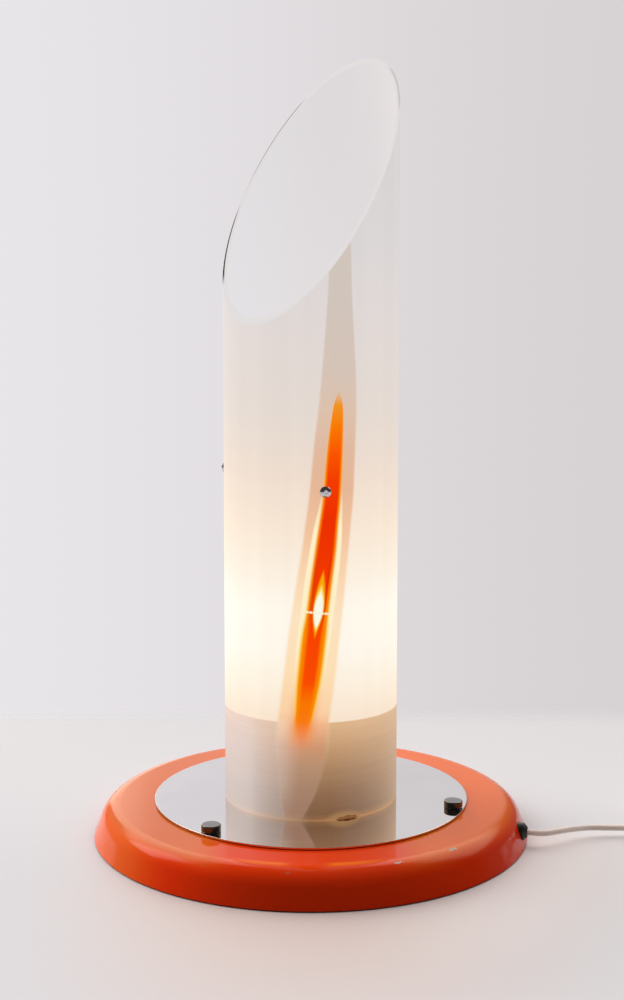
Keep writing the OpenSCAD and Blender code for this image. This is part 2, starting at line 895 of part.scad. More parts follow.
module cord_coil() {
    echo(coil_least_gap = least_gap(coil_points(2 * coil_rings), coil_rings) - cord_d);
    lead_in = curve(coil_in_route, lead_steps);
    lead_out = curve(coil_out_route, lead_steps);
    path = concat(lead_in, coil_points(coil_rings), lead_out);
    color("whitesmoke") sweep(path, cord_r, coil_sides);
}

// Each tie is a flat band round the coil's bundle, and the coil rests on it
module coil_ties() {
    in_r = coil_out_r - coil_layer_turns * coil_step - cord_r - slip_gap;
    out_r = coil_out_r + cord_r + slip_gap;
    top = coil_top_z + cord_r + slip_gap;
    color([0.08, 0.08, 0.08]) translate([coil_at[0], coil_at[1], 0])
        for (bearing = tie_bearings) rotate([0, 0, 90 + bearing]) translate([in_r, -tie_w / 2, 0])
            difference() {
                translate([-tie_t, 0, 0]) cube([out_r - in_r + 2 * tie_t, tie_w, top + tie_t]);
                translate([0, -eps, tie_t]) cube([out_r - in_r, tie_w + 2 * eps, top - tie_t]);
            }
}

module switch_outline() {
    inner_l = switch_l - 2 * switch_corner;
    inner_w = switch_w - 2 * switch_corner;
    square([switch_l, inner_w], center = true);
    square([inner_l, switch_w], center = true);
    for (x = [-1, 1]) for (y = [-1, 1])
        translate([x * inner_l / 2, y * inner_w / 2]) circle(r = switch_corner);
}

module at_switch_screws() {
    for (side = [-1, 1]) translate([side * switch_screw_x, side * switch_screw_y, 0]) children();
}

module switch_well(z, h) {
    size = [switch_l - 2 * switch_end, switch_w - 2 * switch_side, h];
    translate([-size[0] / 2, -size[1] / 2, z]) cube(size);
}

module switch_lower() {
    color("whitesmoke") translate(switch_at) difference() {
        linear_extrude(switch_split) switch_outline();
        switch_well(switch_floor, switch_h);
        at_switch_screws() cylinder(r = switch_screw_r + run_gap, h = switch_h);
        at_switch_screws() cylinder(r = 2 * switch_screw_r + run_gap, h = switch_floor);
    }
}

module switch_upper() {
    slot = [rocker_l + 4 * loose_gap, rocker_w + 2 * loose_gap, switch_h];
    color("whitesmoke") translate(switch_at) difference() {
        translate([0, 0, switch_split]) linear_extrude(switch_h - switch_split) switch_outline();
        switch_well(switch_split - below, switch_h - switch_roof - switch_split + below);
        translate([-slot[0] / 2, -slot[1] / 2, switch_split]) cube(slot);
        translate([0, -pin_l / 2, pivot_z]) rotate([-90, 0, 0])
            cylinder(r = rocker_pin_r + run_gap, h = pin_l);
        at_switch_screws()
            cylinder(r = switch_screw_r + run_gap, h = switch_split + switch_screw_bite + loose_gap);
    }
}

module switch_contacts() {
    color("gold") translate(switch_at) for (side = [-1, 1])
        translate([side * contact_x - contact_size[0] / 2, -contact_size[1] / 2, switch_floor])
            cube(contact_size);
}

module switch_screws() {
    color("silver") translate(switch_at) at_switch_screws() {
        translate([0, 0, switch_floor / 2]) cylinder(r = 2 * switch_screw_r, h = switch_floor / 2);
        translate([0, 0, switch_floor / 2])
            cylinder(r = switch_screw_r, h = switch_split + switch_screw_bite - switch_floor / 2);
    }
}

module rocker() {
    half = rocker_l / 2;
    color("white") translate(switch_at + [0, 0, pivot_z]) rotate([0, rocker_tilt, 0]) rotate([90, 0, 0])
        difference() {
            translate([0, 0, -rocker_w / 2]) linear_extrude(rocker_w) polygon([
                [-half + rocker_foot, -rocker_skirt], [half - rocker_foot, -rocker_skirt],
                [half, rocker_end_h], [0, rocker_ridge_h], [-half, rocker_end_h]
            ]);
            translate([0, 0, -rocker_w]) cylinder(r = rocker_pin_r + run_gap, h = 2 * rocker_w);
        }
}

module rocker_pin() {
    color("silver") translate(switch_at + [0, -pin_l / 2, pivot_z]) rotate([-90, 0, 0])
        cylinder(r = rocker_pin_r, h = pin_l);
}

module plug_sleeve() {
    color("whitesmoke") translate(plug_at + [0, -seat_gap, plug_t / 2]) rotate([90, 0, 0])
        cylinder(r1 = plug_sleeve_r, r2 = plug_sleeve_tip_r, h = plug_sleeve_l);
}

module plug_body() {
    color("whitesmoke") translate(plug_at) linear_extrude(plug_t) polygon([
        [-plug_neck_w / 2, 0], [plug_neck_w / 2, 0],
        [plug_w / 2, plug_taper_l], [plug_w / 2, plug_l - plug_nose],
        [plug_w / 2 - plug_nose / 2, plug_l], [-plug_w / 2 + plug_nose / 2, plug_l],
        [-plug_w / 2, plug_l - plug_nose], [-plug_w / 2, plug_taper_l]
    ]);
}

module plug_pins() {
    color("silver") translate(plug_at) for (side = [-1, 1])
        translate([side * plug_pin_gap / 2, plug_l, plug_t / 2]) rotate([-90, 0, 0])
            cylinder(r = plug_pin_r, h = plug_pin_l);
}

base_shell();
base_cover();
cover_posts();
cover_screws();
felt_ring();
plate_spacers();
mirror_plate();
plate_studs();
stud_nuts();
nut_left();
nut_right();
nut_rear();
washer_left();
washer_right();
washer_rear();
stem_pipe();
stem_washer();
stem_nut_low();
stem_nut_high();
stem_pillar();
drum();
holder_cap();
holder_insert();
holder_contact();
holder_liner();
holder_skirt();
bulb_tip();
bulb_insulator();
bulb_cap();
bulb_glass();
bulb_stem();
bulb_leads();
bulb_filament();
glass_tube();
glass_screws();
screw_washers();
screw_sleeves();
screw_nuts();
gland();
gland_nut();
cord_sheath();
terminal_block();
terminal_screws();
leads();
cord_tube();
switch_lower();
switch_upper();
switch_contacts();
switch_screws();
rocker();
rocker_pin();
cord_coil();
coil_ties();
plug_sleeve();
plug_body();
plug_pins();
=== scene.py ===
import json
import math
from types import SimpleNamespace

import bmesh
import bpy
from mathutils import Matrix, Vector

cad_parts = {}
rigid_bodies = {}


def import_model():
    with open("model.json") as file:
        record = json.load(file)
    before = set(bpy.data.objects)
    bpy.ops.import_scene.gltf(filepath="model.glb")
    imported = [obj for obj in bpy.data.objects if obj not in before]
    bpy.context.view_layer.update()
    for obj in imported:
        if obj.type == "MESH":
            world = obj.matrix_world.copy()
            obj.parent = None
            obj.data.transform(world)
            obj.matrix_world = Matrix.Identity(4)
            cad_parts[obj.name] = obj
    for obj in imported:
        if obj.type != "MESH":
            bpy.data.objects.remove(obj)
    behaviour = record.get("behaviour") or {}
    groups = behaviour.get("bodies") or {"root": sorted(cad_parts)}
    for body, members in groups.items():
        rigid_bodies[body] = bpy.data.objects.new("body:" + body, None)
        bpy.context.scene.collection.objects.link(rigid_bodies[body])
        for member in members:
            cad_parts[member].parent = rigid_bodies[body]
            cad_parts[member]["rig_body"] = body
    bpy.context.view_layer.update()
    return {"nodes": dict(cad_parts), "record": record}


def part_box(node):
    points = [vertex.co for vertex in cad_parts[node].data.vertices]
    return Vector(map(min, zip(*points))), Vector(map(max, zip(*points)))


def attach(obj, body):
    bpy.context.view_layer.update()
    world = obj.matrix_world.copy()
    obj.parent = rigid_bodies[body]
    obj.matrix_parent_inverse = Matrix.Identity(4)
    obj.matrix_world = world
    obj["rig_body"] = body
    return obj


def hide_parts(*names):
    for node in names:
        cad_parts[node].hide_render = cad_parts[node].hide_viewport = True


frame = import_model()
nodes = frame["nodes"]
slot_of = {row["node"]: row["material_slot"] for row in frame["record"]["subparts"]}

# Sizes of the lamp in metres, as the solids have them, and the slant cut's slope and the way it rises
PLATE_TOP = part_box("mirror_plate")[1].z
GLASS_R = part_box("glass_tube")[1].x
GLASS_BORE = GLASS_R - 0.003
CUT_HEIGHT = 0.448
CUT_SLOPE = math.radians(58)
CUT_TOWARDS = math.radians(52)
CORD_R = 0.002

# Height at which the top edge of the drum shows in the glass, where its painted shade begins
DRUM_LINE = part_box("drum")[1].z + 0.0005

# Drill holes in the glass: radius, then the bearing and height of each
HOLE_R = 0.00275
HOLES = ((9, 0.2426), (-98, 0.2546), (135.5, 0.2486))

# Flake out of the foot of the glass: its bearing, how far the centres of its lobes lie outside the skin,
# then each lobe's bearing off the first one, half length, depth and height
FLAKE_BEARING = 23.5
FLAKE_PROUD = 0.0002
FLAKE_LOBES = (
    (-3.8, 0.0038, 0.0020, 0.0015),
    (0.6, 0.0046, 0.0023, 0.0020),
    (4.6, 0.0032, 0.0019, 0.0017),
)

# Making of the tube: top of the stock before the cut, sides of its round, width of its eased edges,
# and length of the cylinders that drill it
STOCK_TOP = 0.56
TUBE_SIDES = 192
POLISHED_EDGE = 0.0006
DRILL_LENGTH = 0.02

# Chips down to the metal and soiled specks in the enamel: place, bearing, half length and half width
BARE_CHIPS = (
    ((0.0535, -0.1278, 0.0215), 22.5, 0.0042, 0.0011),
    ((0.0892, -0.1055, 0.0217), 40.2, 0.0050, 0.0012),
    ((-0.0912, 0.1106, 0.0195), 219.5, 0.0034, 0.0010),
    ((0.0527, 0.1319, 0.0190), 158.0, 0.0024, 0.0009),
)
SOILED_SPECKS = (
    ((-0.0663, -0.1267, 0.0190), -27.6, 0.0008, 0.0006),
    ((-0.0136, -0.1409, 0.0201), -5.5, 0.0016, 0.0010),
)


# Camera

CAMERA_PLACE = (0.0008, -0.868, 0.305)
CAMERA_DIP = 4.78

camera_data = bpy.data.cameras.new("camera")
camera_data.lens = 45
camera_data.sensor_width = 36
camera = bpy.data.objects.new("camera", camera_data)
camera.location = CAMERA_PLACE
camera.rotation_euler = (math.radians(90 - CAMERA_DIP), 0, 0)
bpy.context.scene.collection.objects.link(camera)
bpy.context.scene.camera = camera
bpy.context.scene.view_settings.view_transform = "Standard"


# Cord routes: the points that the solids follow

GLAND_EXIT = (0.14690, -0.04212, 0.0100)
SWITCH_EXIT = (0.2902, -0.0220, 0.0060)
FREE_ROUTE = [
    GLAND_EXIT,
    (0.14979, -0.04295, 0.0100),
    (0.1550, -0.0439, 0.0099),
    (0.1600, -0.0430, 0.0097),
    (0.1640, -0.0410, 0.0095),
    (0.1720, -0.0357, 0.0088),
    (0.1800, -0.0303, 0.0080),
    (0.1930, -0.0242, 0.0068),
    (0.2075, -0.0220, 0.0059),
    (0.2180, -0.0220, 0.0058),
    (0.2278, -0.0220, 0.0060),
    (0.2318, -0.0220, 0.0060),
]
COIL_IN_ROUTE = [
    SWITCH_EXIT,
    (0.2942, -0.0220, 0.0060),
    (0.3035, -0.0197, 0.0055),
    (0.3097, -0.0135, 0.0048),
    (0.3120, -0.0050, 0.0042),
    (0.3120, 0.0060, 0.0034),
    (0.3120, 0.0160, 0.0030),
]
COIL_OUT_ROUTE = [
    (0.3120, 0.0380, 0.0171),
    (0.3120, 0.0480, 0.0156),
    (0.3120, 0.0580, 0.0114),
    (0.3120, 0.0670, 0.0078),
    (0.3120, 0.07375, 0.00685),
]
COIL_CENTRE = Vector((0.2825, 0.0300, 0.0030))
COIL_OUT_R = 0.0295
COIL_STEP = 0.0048
COIL_RISE = 0.0047
LAYER_TURNS = 2.75
COIL_LAYERS = 4
POINTS_PER_TURN = 36
ROUTE_STEPS = 3


def smooth_route(points, steps):
    """The route through these points, rounded as the solid's is."""
    p = [Vector(q) for q in points]
    route = []
    for i in range(len(p) - 1):
        a, b, c, d = p[max(i - 1, 0)], p[i], p[i + 1], p[min(i + 2, len(p) - 1)]
        for k in range(steps):
            t = k / steps
            bend = (2 * a - 5 * b + 4 * c - d) * t * t + (3 * b - a - 3 * c + d) * t ** 3
            route.append((2 * b + (c - a) * t + bend) / 2)
    return route + [p[-1]]


def coil_point(turns):
    """A point of the coil: layers wind inwards and outwards in turn, and climb at each reversal."""
    part = turns % (2 * LAYER_TURNS)
    inset = COIL_STEP * (part if part < LAYER_TURNS else 2 * LAYER_TURNS - part)
    layer = round(turns / LAYER_TURNS)
    off = (turns - layer * LAYER_TURNS) * 4
    swing = math.sin(math.radians(90 * off)) if abs(off) < 1 else math.copysign(1, off)
    climb = layer - 0.5 + swing / 2
    if layer == 0:
        climb = 0
    if layer == COIL_LAYERS:
        climb = COIL_LAYERS - 1
    angle = 2 * math.pi * turns
    r = COIL_OUT_R - inset
    return COIL_CENTRE + Vector((r * math.cos(angle), r * math.sin(angle), climb * COIL_RISE))


def cord_piece(name, route):
    """A round cord along a route, as a curve of one open spline."""
    curve = bpy.data.curves.new(name, "CURVE")
    curve.dimensions = "3D"
    curve.bevel_depth = CORD_R
    curve.bevel_resolution = 4
    curve.use_fill_caps = True
    spline = curve.splines.new("POLY")
    spline.points.add(len(route) - 1)
    for point, place in zip(spline.points, route):
        point.co = (*place, 1)
    spline.use_smooth = True
    piece = bpy.data.objects.new(name, curve)
    bpy.context.scene.collection.objects.link(piece)
    return piece


coil_count = round(COIL_LAYERS * LAYER_TURNS * POINTS_PER_TURN)
coil_route = (
    smooth_route(COIL_IN_ROUTE, ROUTE_STEPS)
    + [coil_point(i / POINTS_PER_TURN) for i in range(coil_count + 1)]
    + smooth_route(COIL_OUT_ROUTE, ROUTE_STEPS)
)
cord_free = cord_piece("cord_free", smooth_route(FREE_ROUTE, ROUTE_STEPS))
cord_wound = cord_piece("cord_wound", coil_route)


# Node helpers

def feed(tree, value, socket):
    """Links a socket, or sets a number or colour on it."""
    if isinstance(value, bpy.types.NodeSocket):
        tree.links.new(value, socket)
    else:
        socket.default_value = value


def calc(tree, operation, *values, clamp=False):
    node = tree.nodes.new("ShaderNodeMath")
    node.operation = operation
    node.use_clamp = clamp
    for value, socket in zip(values, node.inputs):
        feed(tree, value, socket)
    return node.outputs[0]


def fade(tree, value, start, end, low=0.0, high=1.0):
    """Goes smoothly from low to high while value goes from start to end."""
    node = tree.nodes.new("ShaderNodeMapRange")
    node.interpolation_type = "SMOOTHSTEP"
    for wanted, socket in zip((value, start, end, low, high), node.inputs):
        feed(tree, wanted, socket)
    return node.outputs[0]


def times(tree, *values):
    """The product of masks and numbers."""
    product = values[0]
    for value in values[1:]:
        product = calc(tree, "MULTIPLY", product, value)
    return product


def highest(tree, *values):
    """The greatest of several masks."""
    top = values[0]
    for value in values[1:]:
        top = calc(tree, "MAXIMUM", top, value)
    return top


def gap(tree, value, middle):
    """How far a value lies from a middle one, either way."""
    return calc(tree, "ABSOLUTE", calc(tree, "SUBTRACT", value, middle))


def hump(tree, value, start, full, waning, end):
    """Rises from start to full, stays at 1, and falls from waning to end."""
    return times(tree, fade(tree, value, start, full), fade(tree, value, end, waning))


def mix(tree, share, a, b):
    """Goes from colour a to colour b by a share, and keeps values over 1."""
    node = tree.nodes.new("ShaderNodeMix")
    node.data_type = "RGBA"
    node.clamp_result = False
    for wanted, socket in zip((share, a, b), (node.inputs[0], node.inputs[6], node.inputs[7])):
        if isinstance(wanted, tuple):
            wanted = (*wanted, 1.0)
        feed(tree, wanted, socket)
    return node.outputs[2]


def mix_value(tree, share, a, b):
    """Goes from number a to number b by a share."""
    return calc(tree, "MULTIPLY_ADD", share, calc(tree, "SUBTRACT", b, a), a)


def scaled(tree, colour, amount):
    node = tree.nodes.new("ShaderNodeVectorMath")
    node.operation = "SCALE"
    feed(tree, colour, node.inputs[0])
    feed(tree, amount, node.inputs["Scale"])
    return node.outputs[0]


def ramp(tree, value, stops):
    """Colour stops at positions from 0 to 1."""
    node = tree.nodes.new("ShaderNodeValToRGB")
    feed(tree, value, node.inputs[0])
    points = node.color_ramp.elements
    while len(points) < len(stops):
        points.new(0.5)
    for point, (place, colour) in zip(points, stops):
        point.position = place
        point.color = (*colour, 1.0)
    return node.outputs[0]


def profile(tree, share, points, low, high):
    """A smooth curve through (share, value) points, with values from low to high."""
    node = tree.nodes.new("ShaderNodeFloatCurve")
    feed(tree, share, node.inputs["Value"])
    curve = node.mapping.curves[0]
    places = [(x, (y - low) / (high - low)) for x, y in points]
    curve.points[0].location = places[0]
    curve.points[1].location = places[-1]
    for place in places[1:-1]:
        curve.points.new(*place)
    node.mapping.update()
    return calc(tree, "MULTIPLY_ADD", node.outputs[0], high - low, low)


def coordinates(tree):
    return tree.nodes.new("ShaderNodeTexCoord").outputs["Object"]


def axes(tree, vector):
    """The x, y and z of a vector."""
    node = tree.nodes.new("ShaderNodeSeparateXYZ")
    feed(tree, vector, node.inputs[0])
    return node.outputs


def root_of_squares(tree, a, b):
    return calc(tree, "SQRT", calc(tree, "ADD", calc(tree, "POWER", a, 2.0), calc(tree, "POWER", b, 2.0)))


def noise(tree, vector, scale, detail):
    node = tree.nodes.new("ShaderNodeTexNoise")
    feed(tree, vector, node.inputs["Vector"])
    feed(tree, scale, node.inputs["Scale"])
    node.inputs["Detail"].default_value = detail
    return node.outputs[0]


def stretched_noise(tree, vector, scale, turn=0.0):
    """Noise that is drawn out along the axis whose scale is small, turned about the vertical."""
    node = tree.nodes.new("ShaderNodeMapping")
    node.inputs["Scale"].default_value = scale
    node.inputs["Rotation"].default_value = (0.0, 0.0, turn)
    feed(tree, vector, node.inputs["Vector"])
    return noise(tree, node.outputs[0], 1.0, 2.0)


def new_group(name, inputs, outputs):
    group = bpy.data.node_groups.new(name, "ShaderNodeTree")
    for label, kind in inputs:
        group.interface.new_socket(label, in_out="INPUT", socket_type=kind)
    for label, kind in outputs:
        group.interface.new_socket(label, in_out="OUTPUT", socket_type=kind)
    return group, group.nodes.new("NodeGroupInput"), group.nodes.new("NodeGroupOutput")


def surface_marks_group():
    """Handling marks and grain: a broad patchiness with a fine one on it."""
    group, given, made = new_group(
        "surface_marks",
        [("Fine Scale", "NodeSocketFloat"), ("Broad Scale", "NodeSocketFloat")],
        [("Tone", "NodeSocketFloat"), ("Height", "NodeSocketFloat")],
    )
    where = coordinates(group)
    fine = noise(group, where, given.outputs["Fine Scale"], 4.0)
    broad = noise(group, where, given.outputs["Broad Scale"], 2.0)
    both = calc(group, "MULTIPLY_ADD", broad, 0.65, calc(group, "MULTIPLY", fine, 0.35))
    feed(group, fade(group, both, 0.36, 0.64), made.inputs["Tone"])
    feed(group, fine, made.inputs["Height"])
    return group


def chip_group():
    """A small broken place of given centre, turn and size, as a mask."""
    group, given, made = new_group(
        "paint_chip",
        [
            ("Place", "NodeSocketVector"),
            ("Turn", "NodeSocketFloat"),
            ("Long", "NodeSocketFloat"),
            ("Wide", "NodeSocketFloat"),
        ],
        [("Mask", "NodeSocketFloat")],
    )
    where = coordinates(group)
    away = group.nodes.new("ShaderNodeVectorMath")
    away.operation = "SUBTRACT"
    feed(group, where, away.inputs[0])
    feed(group, given.outputs["Place"], away.inputs[1])
    turned = group.nodes.new("ShaderNodeVectorRotate")
    turned.rotation_type = "Z_AXIS"
    feed(group, away.outputs[0], turned.inputs["Vector"])
    feed(group, calc(group, "MULTIPLY", given.outputs["Turn"], -1.0), turned.inputs["Angle"])
    x, y, _ = axes(group, turned.outputs[0])
    along = calc(group, "DIVIDE", x, given.outputs["Long"])
    across = calc(group, "DIVIDE", y, given.outputs["Wide"])
    reach = root_of_squares(group, along, across)
    ragged = calc(group, "MULTIPLY_ADD", noise(group, where, 900.0, 3.0), 1.9, -0.95)
    feed(group, fade(group, calc(group, "ADD", reach, ragged), 0.8, 0.6), made.inputs["Mask"])
    return group


SURFACE_MARKS = surface_marks_group()
PAINT_CHIP = chip_group()


def marks(tree, fine, broad):
    """Places the handling marks in a finish, and gives their tone and height."""
    node = tree.nodes.new("ShaderNodeGroup")
    node.node_tree = SURFACE_MARKS
    node.inputs["Fine Scale"].default_value = fine
    node.inputs["Broad Scale"].default_value = broad
    return node.outputs["Tone"], node.outputs["Height"]


def chip(tree, place, bearing, long, wide):
    """Places one broken spot in a finish, and gives its mask."""
    node = tree.nodes.new("ShaderNodeGroup")
    node.node_tree = PAINT_CHIP
    node.inputs["Place"].default_value = place
    node.inputs["Turn"].default_value = math.radians(bearing)
    node.inputs["Long"].default_value = long
    node.inputs["Wide"].default_value = wide
    return node.outputs["Mask"]


def new_finish(name):
    material = bpy.data.materials.new(name)
    material.use_nodes = True
    tree = material.node_tree
    return material, tree, tree.nodes["Principled BSDF"]


def raise_surface(tree, shader, height, strength, distance):
    node = tree.nodes.new("ShaderNodeBump")
    node.inputs["Strength"].default_value = strength
    node.inputs["Distance"].default_value = distance
    feed(tree, height, node.inputs["Height"])
    feed(tree, node.outputs["Normal"], shader.inputs["Normal"])


def worked_finish(name, dark, light, rough, fine=700.0, broad=45.0, bump=0.08, metallic=0.0,
                  coat=0.0, specular=0.5):
    """A finish whose colour, gloss and surface all follow the same handling marks."""
    material, tree, shader = new_finish(name)
    tone, height = marks(tree, fine, broad)
    feed(tree, mix(tree, tone, dark, light), shader.inputs["Base Color"])
    feed(tree, fade(tree, tone, 0.0, 1.0, rough[0], rough[1]), shader.inputs["Roughness"])
    shader.inputs["Metallic"].default_value = metallic
    shader.inputs["Coat Weight"].default_value = coat
    shader.inputs["Specular IOR Level"].default_value = specular
    raise_surface(tree, shader, height, bump, 0.0002)
    return material


# Finishes

def orange_enamel():
    """Stoved gloss enamel with a slight orange-peel skin and a few chips, deeper on the side and redder in
    front under the glass in painted shade, with painted light and shade at the left end and a painted glint
    along the crest of the shoulder."""
    material, tree, shader = new_finish("orange_enamel")
    tone, height = marks(tree, 260.0, 14.0)
    x, y, _ = axes(tree, coordinates(tree))
    radius = root_of_squares(tree, x, y)
    on_side = fade(tree, radius, 0.137, 0.147)
    paint = mix(tree, tone, (0.81, 0.136, 0.007), (0.86, 0.152, 0.010))
    # Painted light and shade at the left end: a duller top and a lighter side
    left_end_painted_light_and_shade = mix(tree, on_side, (0.70, 0.145, 0.026), (0.94, 0.122, 0.008))
    paint = mix(tree, fade(tree, x, -0.03, -0.10), paint, left_end_painted_light_and_shade)
    # Painted shade of the tube: redder enamel in front, under the glass
    in_front = fade(tree, calc(tree, "ABSOLUTE", x), 0.075, 0.045)
    painted_tube_shade = times(tree, in_front, fade(tree, y, -0.07, -0.10))
    paint = mix(tree, painted_tube_shade, paint, (0.80, 0.045, 0.001))
    # Painted shade deepens the side wall, and painted light makes it lighter towards the left
    side = mix(tree, fade(tree, x, -0.02, -0.09), (0.82, 0.036, 0.002), (1.00, 0.044, 0.004))
    paint = mix(tree, times(tree, on_side, fade(tree, x, -0.128, -0.085)), paint, side)

    # Painted glint: a warm amber line along the front crest of the shoulder
    crest = times(tree, fade(tree, gap(tree, radius, 0.1334), 0.0038, 0.0006), fade(tree, y, -0.09, -0.11))
    painted_crest_glint = times(tree, hump(tree, gap(tree, x, -0.002), 0.008, 0.018, 0.026, 0.056), crest, 0.7)
    paint = mix(tree, painted_crest_glint, paint, (0.95, 0.20, 0.004))

    bare = highest(tree, *[chip(tree, *row) for row in BARE_CHIPS])
    soiled = highest(tree, *[chip(tree, *row) for row in SOILED_SPECKS])
    hurt = highest(tree, bare, soiled)
    paint = mix(tree, times(tree, soiled, 0.5), paint, (0.30, 0.16, 0.08))
    feed(tree, mix(tree, bare, paint, (0.62, 0.54, 0.46)), shader.inputs["Base Color"])
    gloss = fade(tree, tone, 0.0, 1.0, 0.07, 0.12)
    feed(tree, highest(tree, gloss, times(tree, hurt, 0.6)), shader.inputs["Roughness"])
    shader.inputs["Specular IOR Level"].default_value = 0.22
    skin = calc(tree, "SUBTRACT", times(tree, height, 0.15), hurt)
    raise_surface(tree, shader, skin, 0.10, 0.0004)
    return material


def mirror_steel():
    """Polished steel: almost clean, with faint wiping smears and hairlines."""
    material, tree, shader = new_finish("mirror_steel")
    tone, _ = marks(tree, 40.0, 9.0)
    hair = fade(tree, stretched_noise(tree, coordinates(tree), (900.0, 25.0, 1.0), 0.5), 0.66, 0.74)
    smear = fade(tree, tone, 0.0, 1.0, 0.022, 0.055)
    feed(tree, mix(tree, tone, (0.83, 0.82, 0.82), (0.87, 0.86, 0.86)), shader.inputs["Base Color"])
    feed(tree, calc(tree, "MULTIPLY_ADD", hair, 0.06, smear), shader.inputs["Roughness"])
    shader.inputs["Metallic"].default_value = 1.0
    return material


def clear_glass():
    """The bulb's thin glass, with hardly a mark on it."""
    material, tree, shader = new_finish("clear_glass")
    tone, _ = marks(tree, 300.0, 40.0)
    feed(tree, mix(tree, tone, (0.97, 0.98, 0.98), (1.0, 1.0, 1.0)), shader.inputs["Base Color"])
    feed(tree, fade(tree, tone, 0.0, 1.0, 0.0, 0.02), shader.inputs["Roughness"])
    shader.inputs["Transmission Weight"].default_value = 1.0
    shader.inputs["IOR"].default_value = 1.47
    return material


def glowing_wire():
    """A coiled filament: bright ridges of a fine helix."""
    material, tree, shader = new_finish("glowing_wire")
    x, _, _ = axes(tree, coordinates(tree))
    wave = calc(tree, "SINE", times(tree, x, 9000.0))
    glow = mix(tree, fade(tree, wave, -1.0, 1.0), (1.0, 0.62, 0.20), (1.0, 0.90, 0.62))
    feed(tree, glow, shader.inputs["Emission Color"])
    shader.inputs["Emission Strength"].default_value = 12.0
    shader.inputs["Base Color"].default_value = (0.6, 0.5, 0.35, 1)
    raise_surface(tree, shader, wave, 0.5, 0.0002)
    return material


# Lit opal glass, one function for each thing that shows in it

# Heights between which the colours of the glass are given, and the softness of the edge of the drum's painted
# shade in it
GLASS_LOW = 0.02
GLASS_HIGH = 0.46
DRUM_EDGE = 0.0006

# Shares of the glass's colour that light from the room and its own light carry
GLASS_BODY = 0.16
GLASS_GLOW = 0.90

# Light seen through the flame: centre, half height, half width in degrees, soft edge from and to, colour
ALMONDS = (
    (0.1690, 0.0240, 3.7, 1.05, 0.55, (1.0, 0.42, 0.002)),
    (0.1665, 0.0165, 3.6, 1.05, 0.60, (1.0, 0.80, 0.16)),
    (0.1655, 0.0140, 3.4, 0.95, 0.60, (1.0, 0.99, 0.86)),
)


def up(millimetres):
    """A height as a share of the stretch that the colours are given for."""
    return (millimetres / 1000 - GLASS_LOW) / (GLASS_HIGH - GLASS_LOW)


def at(degrees):
    """A bearing as a share of the half turn in front."""
    return degrees / 180 + 0.5


def place_on_glass(tree):
    """Where a point of the glass lies: axes, bearing, distance from the axis, shares of height and turn,
    and whether it is over the drum."""
    where = coordinates(tree)
    x, y, z = axes(tree, where)
    bearing = calc(tree, "DEGREES", calc(tree, "ARCTAN2", x, times(tree, y, -1.0)))
    stretch = GLASS_HIGH - GLASS_LOW
    return SimpleNamespace(
        where=where,
        x=x,
        y=y,
        z=z,
        bearing=bearing,
        radius=root_of_squares(tree, x, y),
        rise=calc(tree, "MULTIPLY_ADD", z, 1 / stretch, -GLASS_LOW / stretch, clamp=True),
        turn=calc(tree, "MULTIPLY_ADD", bearing, 1 / 180, 0.5, clamp=True),
        over_drum=fade(tree, z, DRUM_LINE + DRUM_EDGE, DRUM_LINE - DRUM_EDGE),
    )


def glow_and_drum_shade(tree, place):
    """The body from the drum's edge to the rim, with the bulb's glow painted in, brightest near the bulb,
    and the painted shade of the drum below its edge: beige on the left, browner in front, a little lighter
    again towards the right."""
    rise = place.rise
    turn = place.turn
    # Painted glow of the bulb, by height
    body = ramp(tree, rise, [
        (up(92), (1.00, 0.83, 0.66)),
        (up(112), (1.03, 0.92, 0.765)),
        (up(138), (1.05, 0.99, 0.875)),
        (up(165), (1.05, 1.00, 0.885)),
        (up(191), (1.02, 0.910, 0.775)),
        (up(218), (0.98, 0.839, 0.690)),
        (up(244), (0.930, 0.783, 0.665)),
        (up(270), (0.863, 0.748, 0.658)),
        (up(296), (0.815, 0.733, 0.672)),
        (up(347), (0.785, 0.720, 0.695)),
        (up(398), (0.745, 0.705, 0.705)),
        (up(450), (0.715, 0.690, 0.690)),
    ])
    # Painted shade of the drum, lighter (beige) and deeper (brown), by height
    beige = ramp(tree, rise, [
        (up(24), (0.66, 0.56, 0.51)),
        (up(42), (0.69, 0.60, 0.56)),
        (up(57), (0.74, 0.62, 0.57)),
        (up(72), (0.79, 0.65, 0.60)),
        (up(90), (0.86, 0.68, 0.59)),
    ])
    brown = ramp(tree, rise, [
        (up(24), (0.215, 0.110, 0.055)),
        (up(42), (0.300, 0.160, 0.086)),
        (up(57), (0.415, 0.238, 0.123)),
        (up(72), (0.57, 0.335, 0.171)),
        (up(90), (0.78, 0.490, 0.270)),
    ])
    drum_shade_depth = profile(tree, turn, [
        (0.0, 0.15), (at(-60), 0.02), (at(-46), 0.04), (at(-36), 0.24), (at(-25), 0.45), (at(-15), 0.62),
        (at(-6), 0.85), (at(4), 1.03), (at(13), 1.00), (at(31), 0.90), (at(41), 0.80), (at(51), 0.68),
        (at(60), 0.56), (at(69), 0.45), (1.0, 0.28),
    ], 0.0, 1.2)
    beige = mix(tree, fade(tree, place.x, 0.02, 0.05, 0.0, 0.7), beige, (0.74, 0.52, 0.33))
    drum_shade = mix(tree, drum_shade_depth, beige, brown)
    return mix(tree, place.over_drum, body, drum_shade)


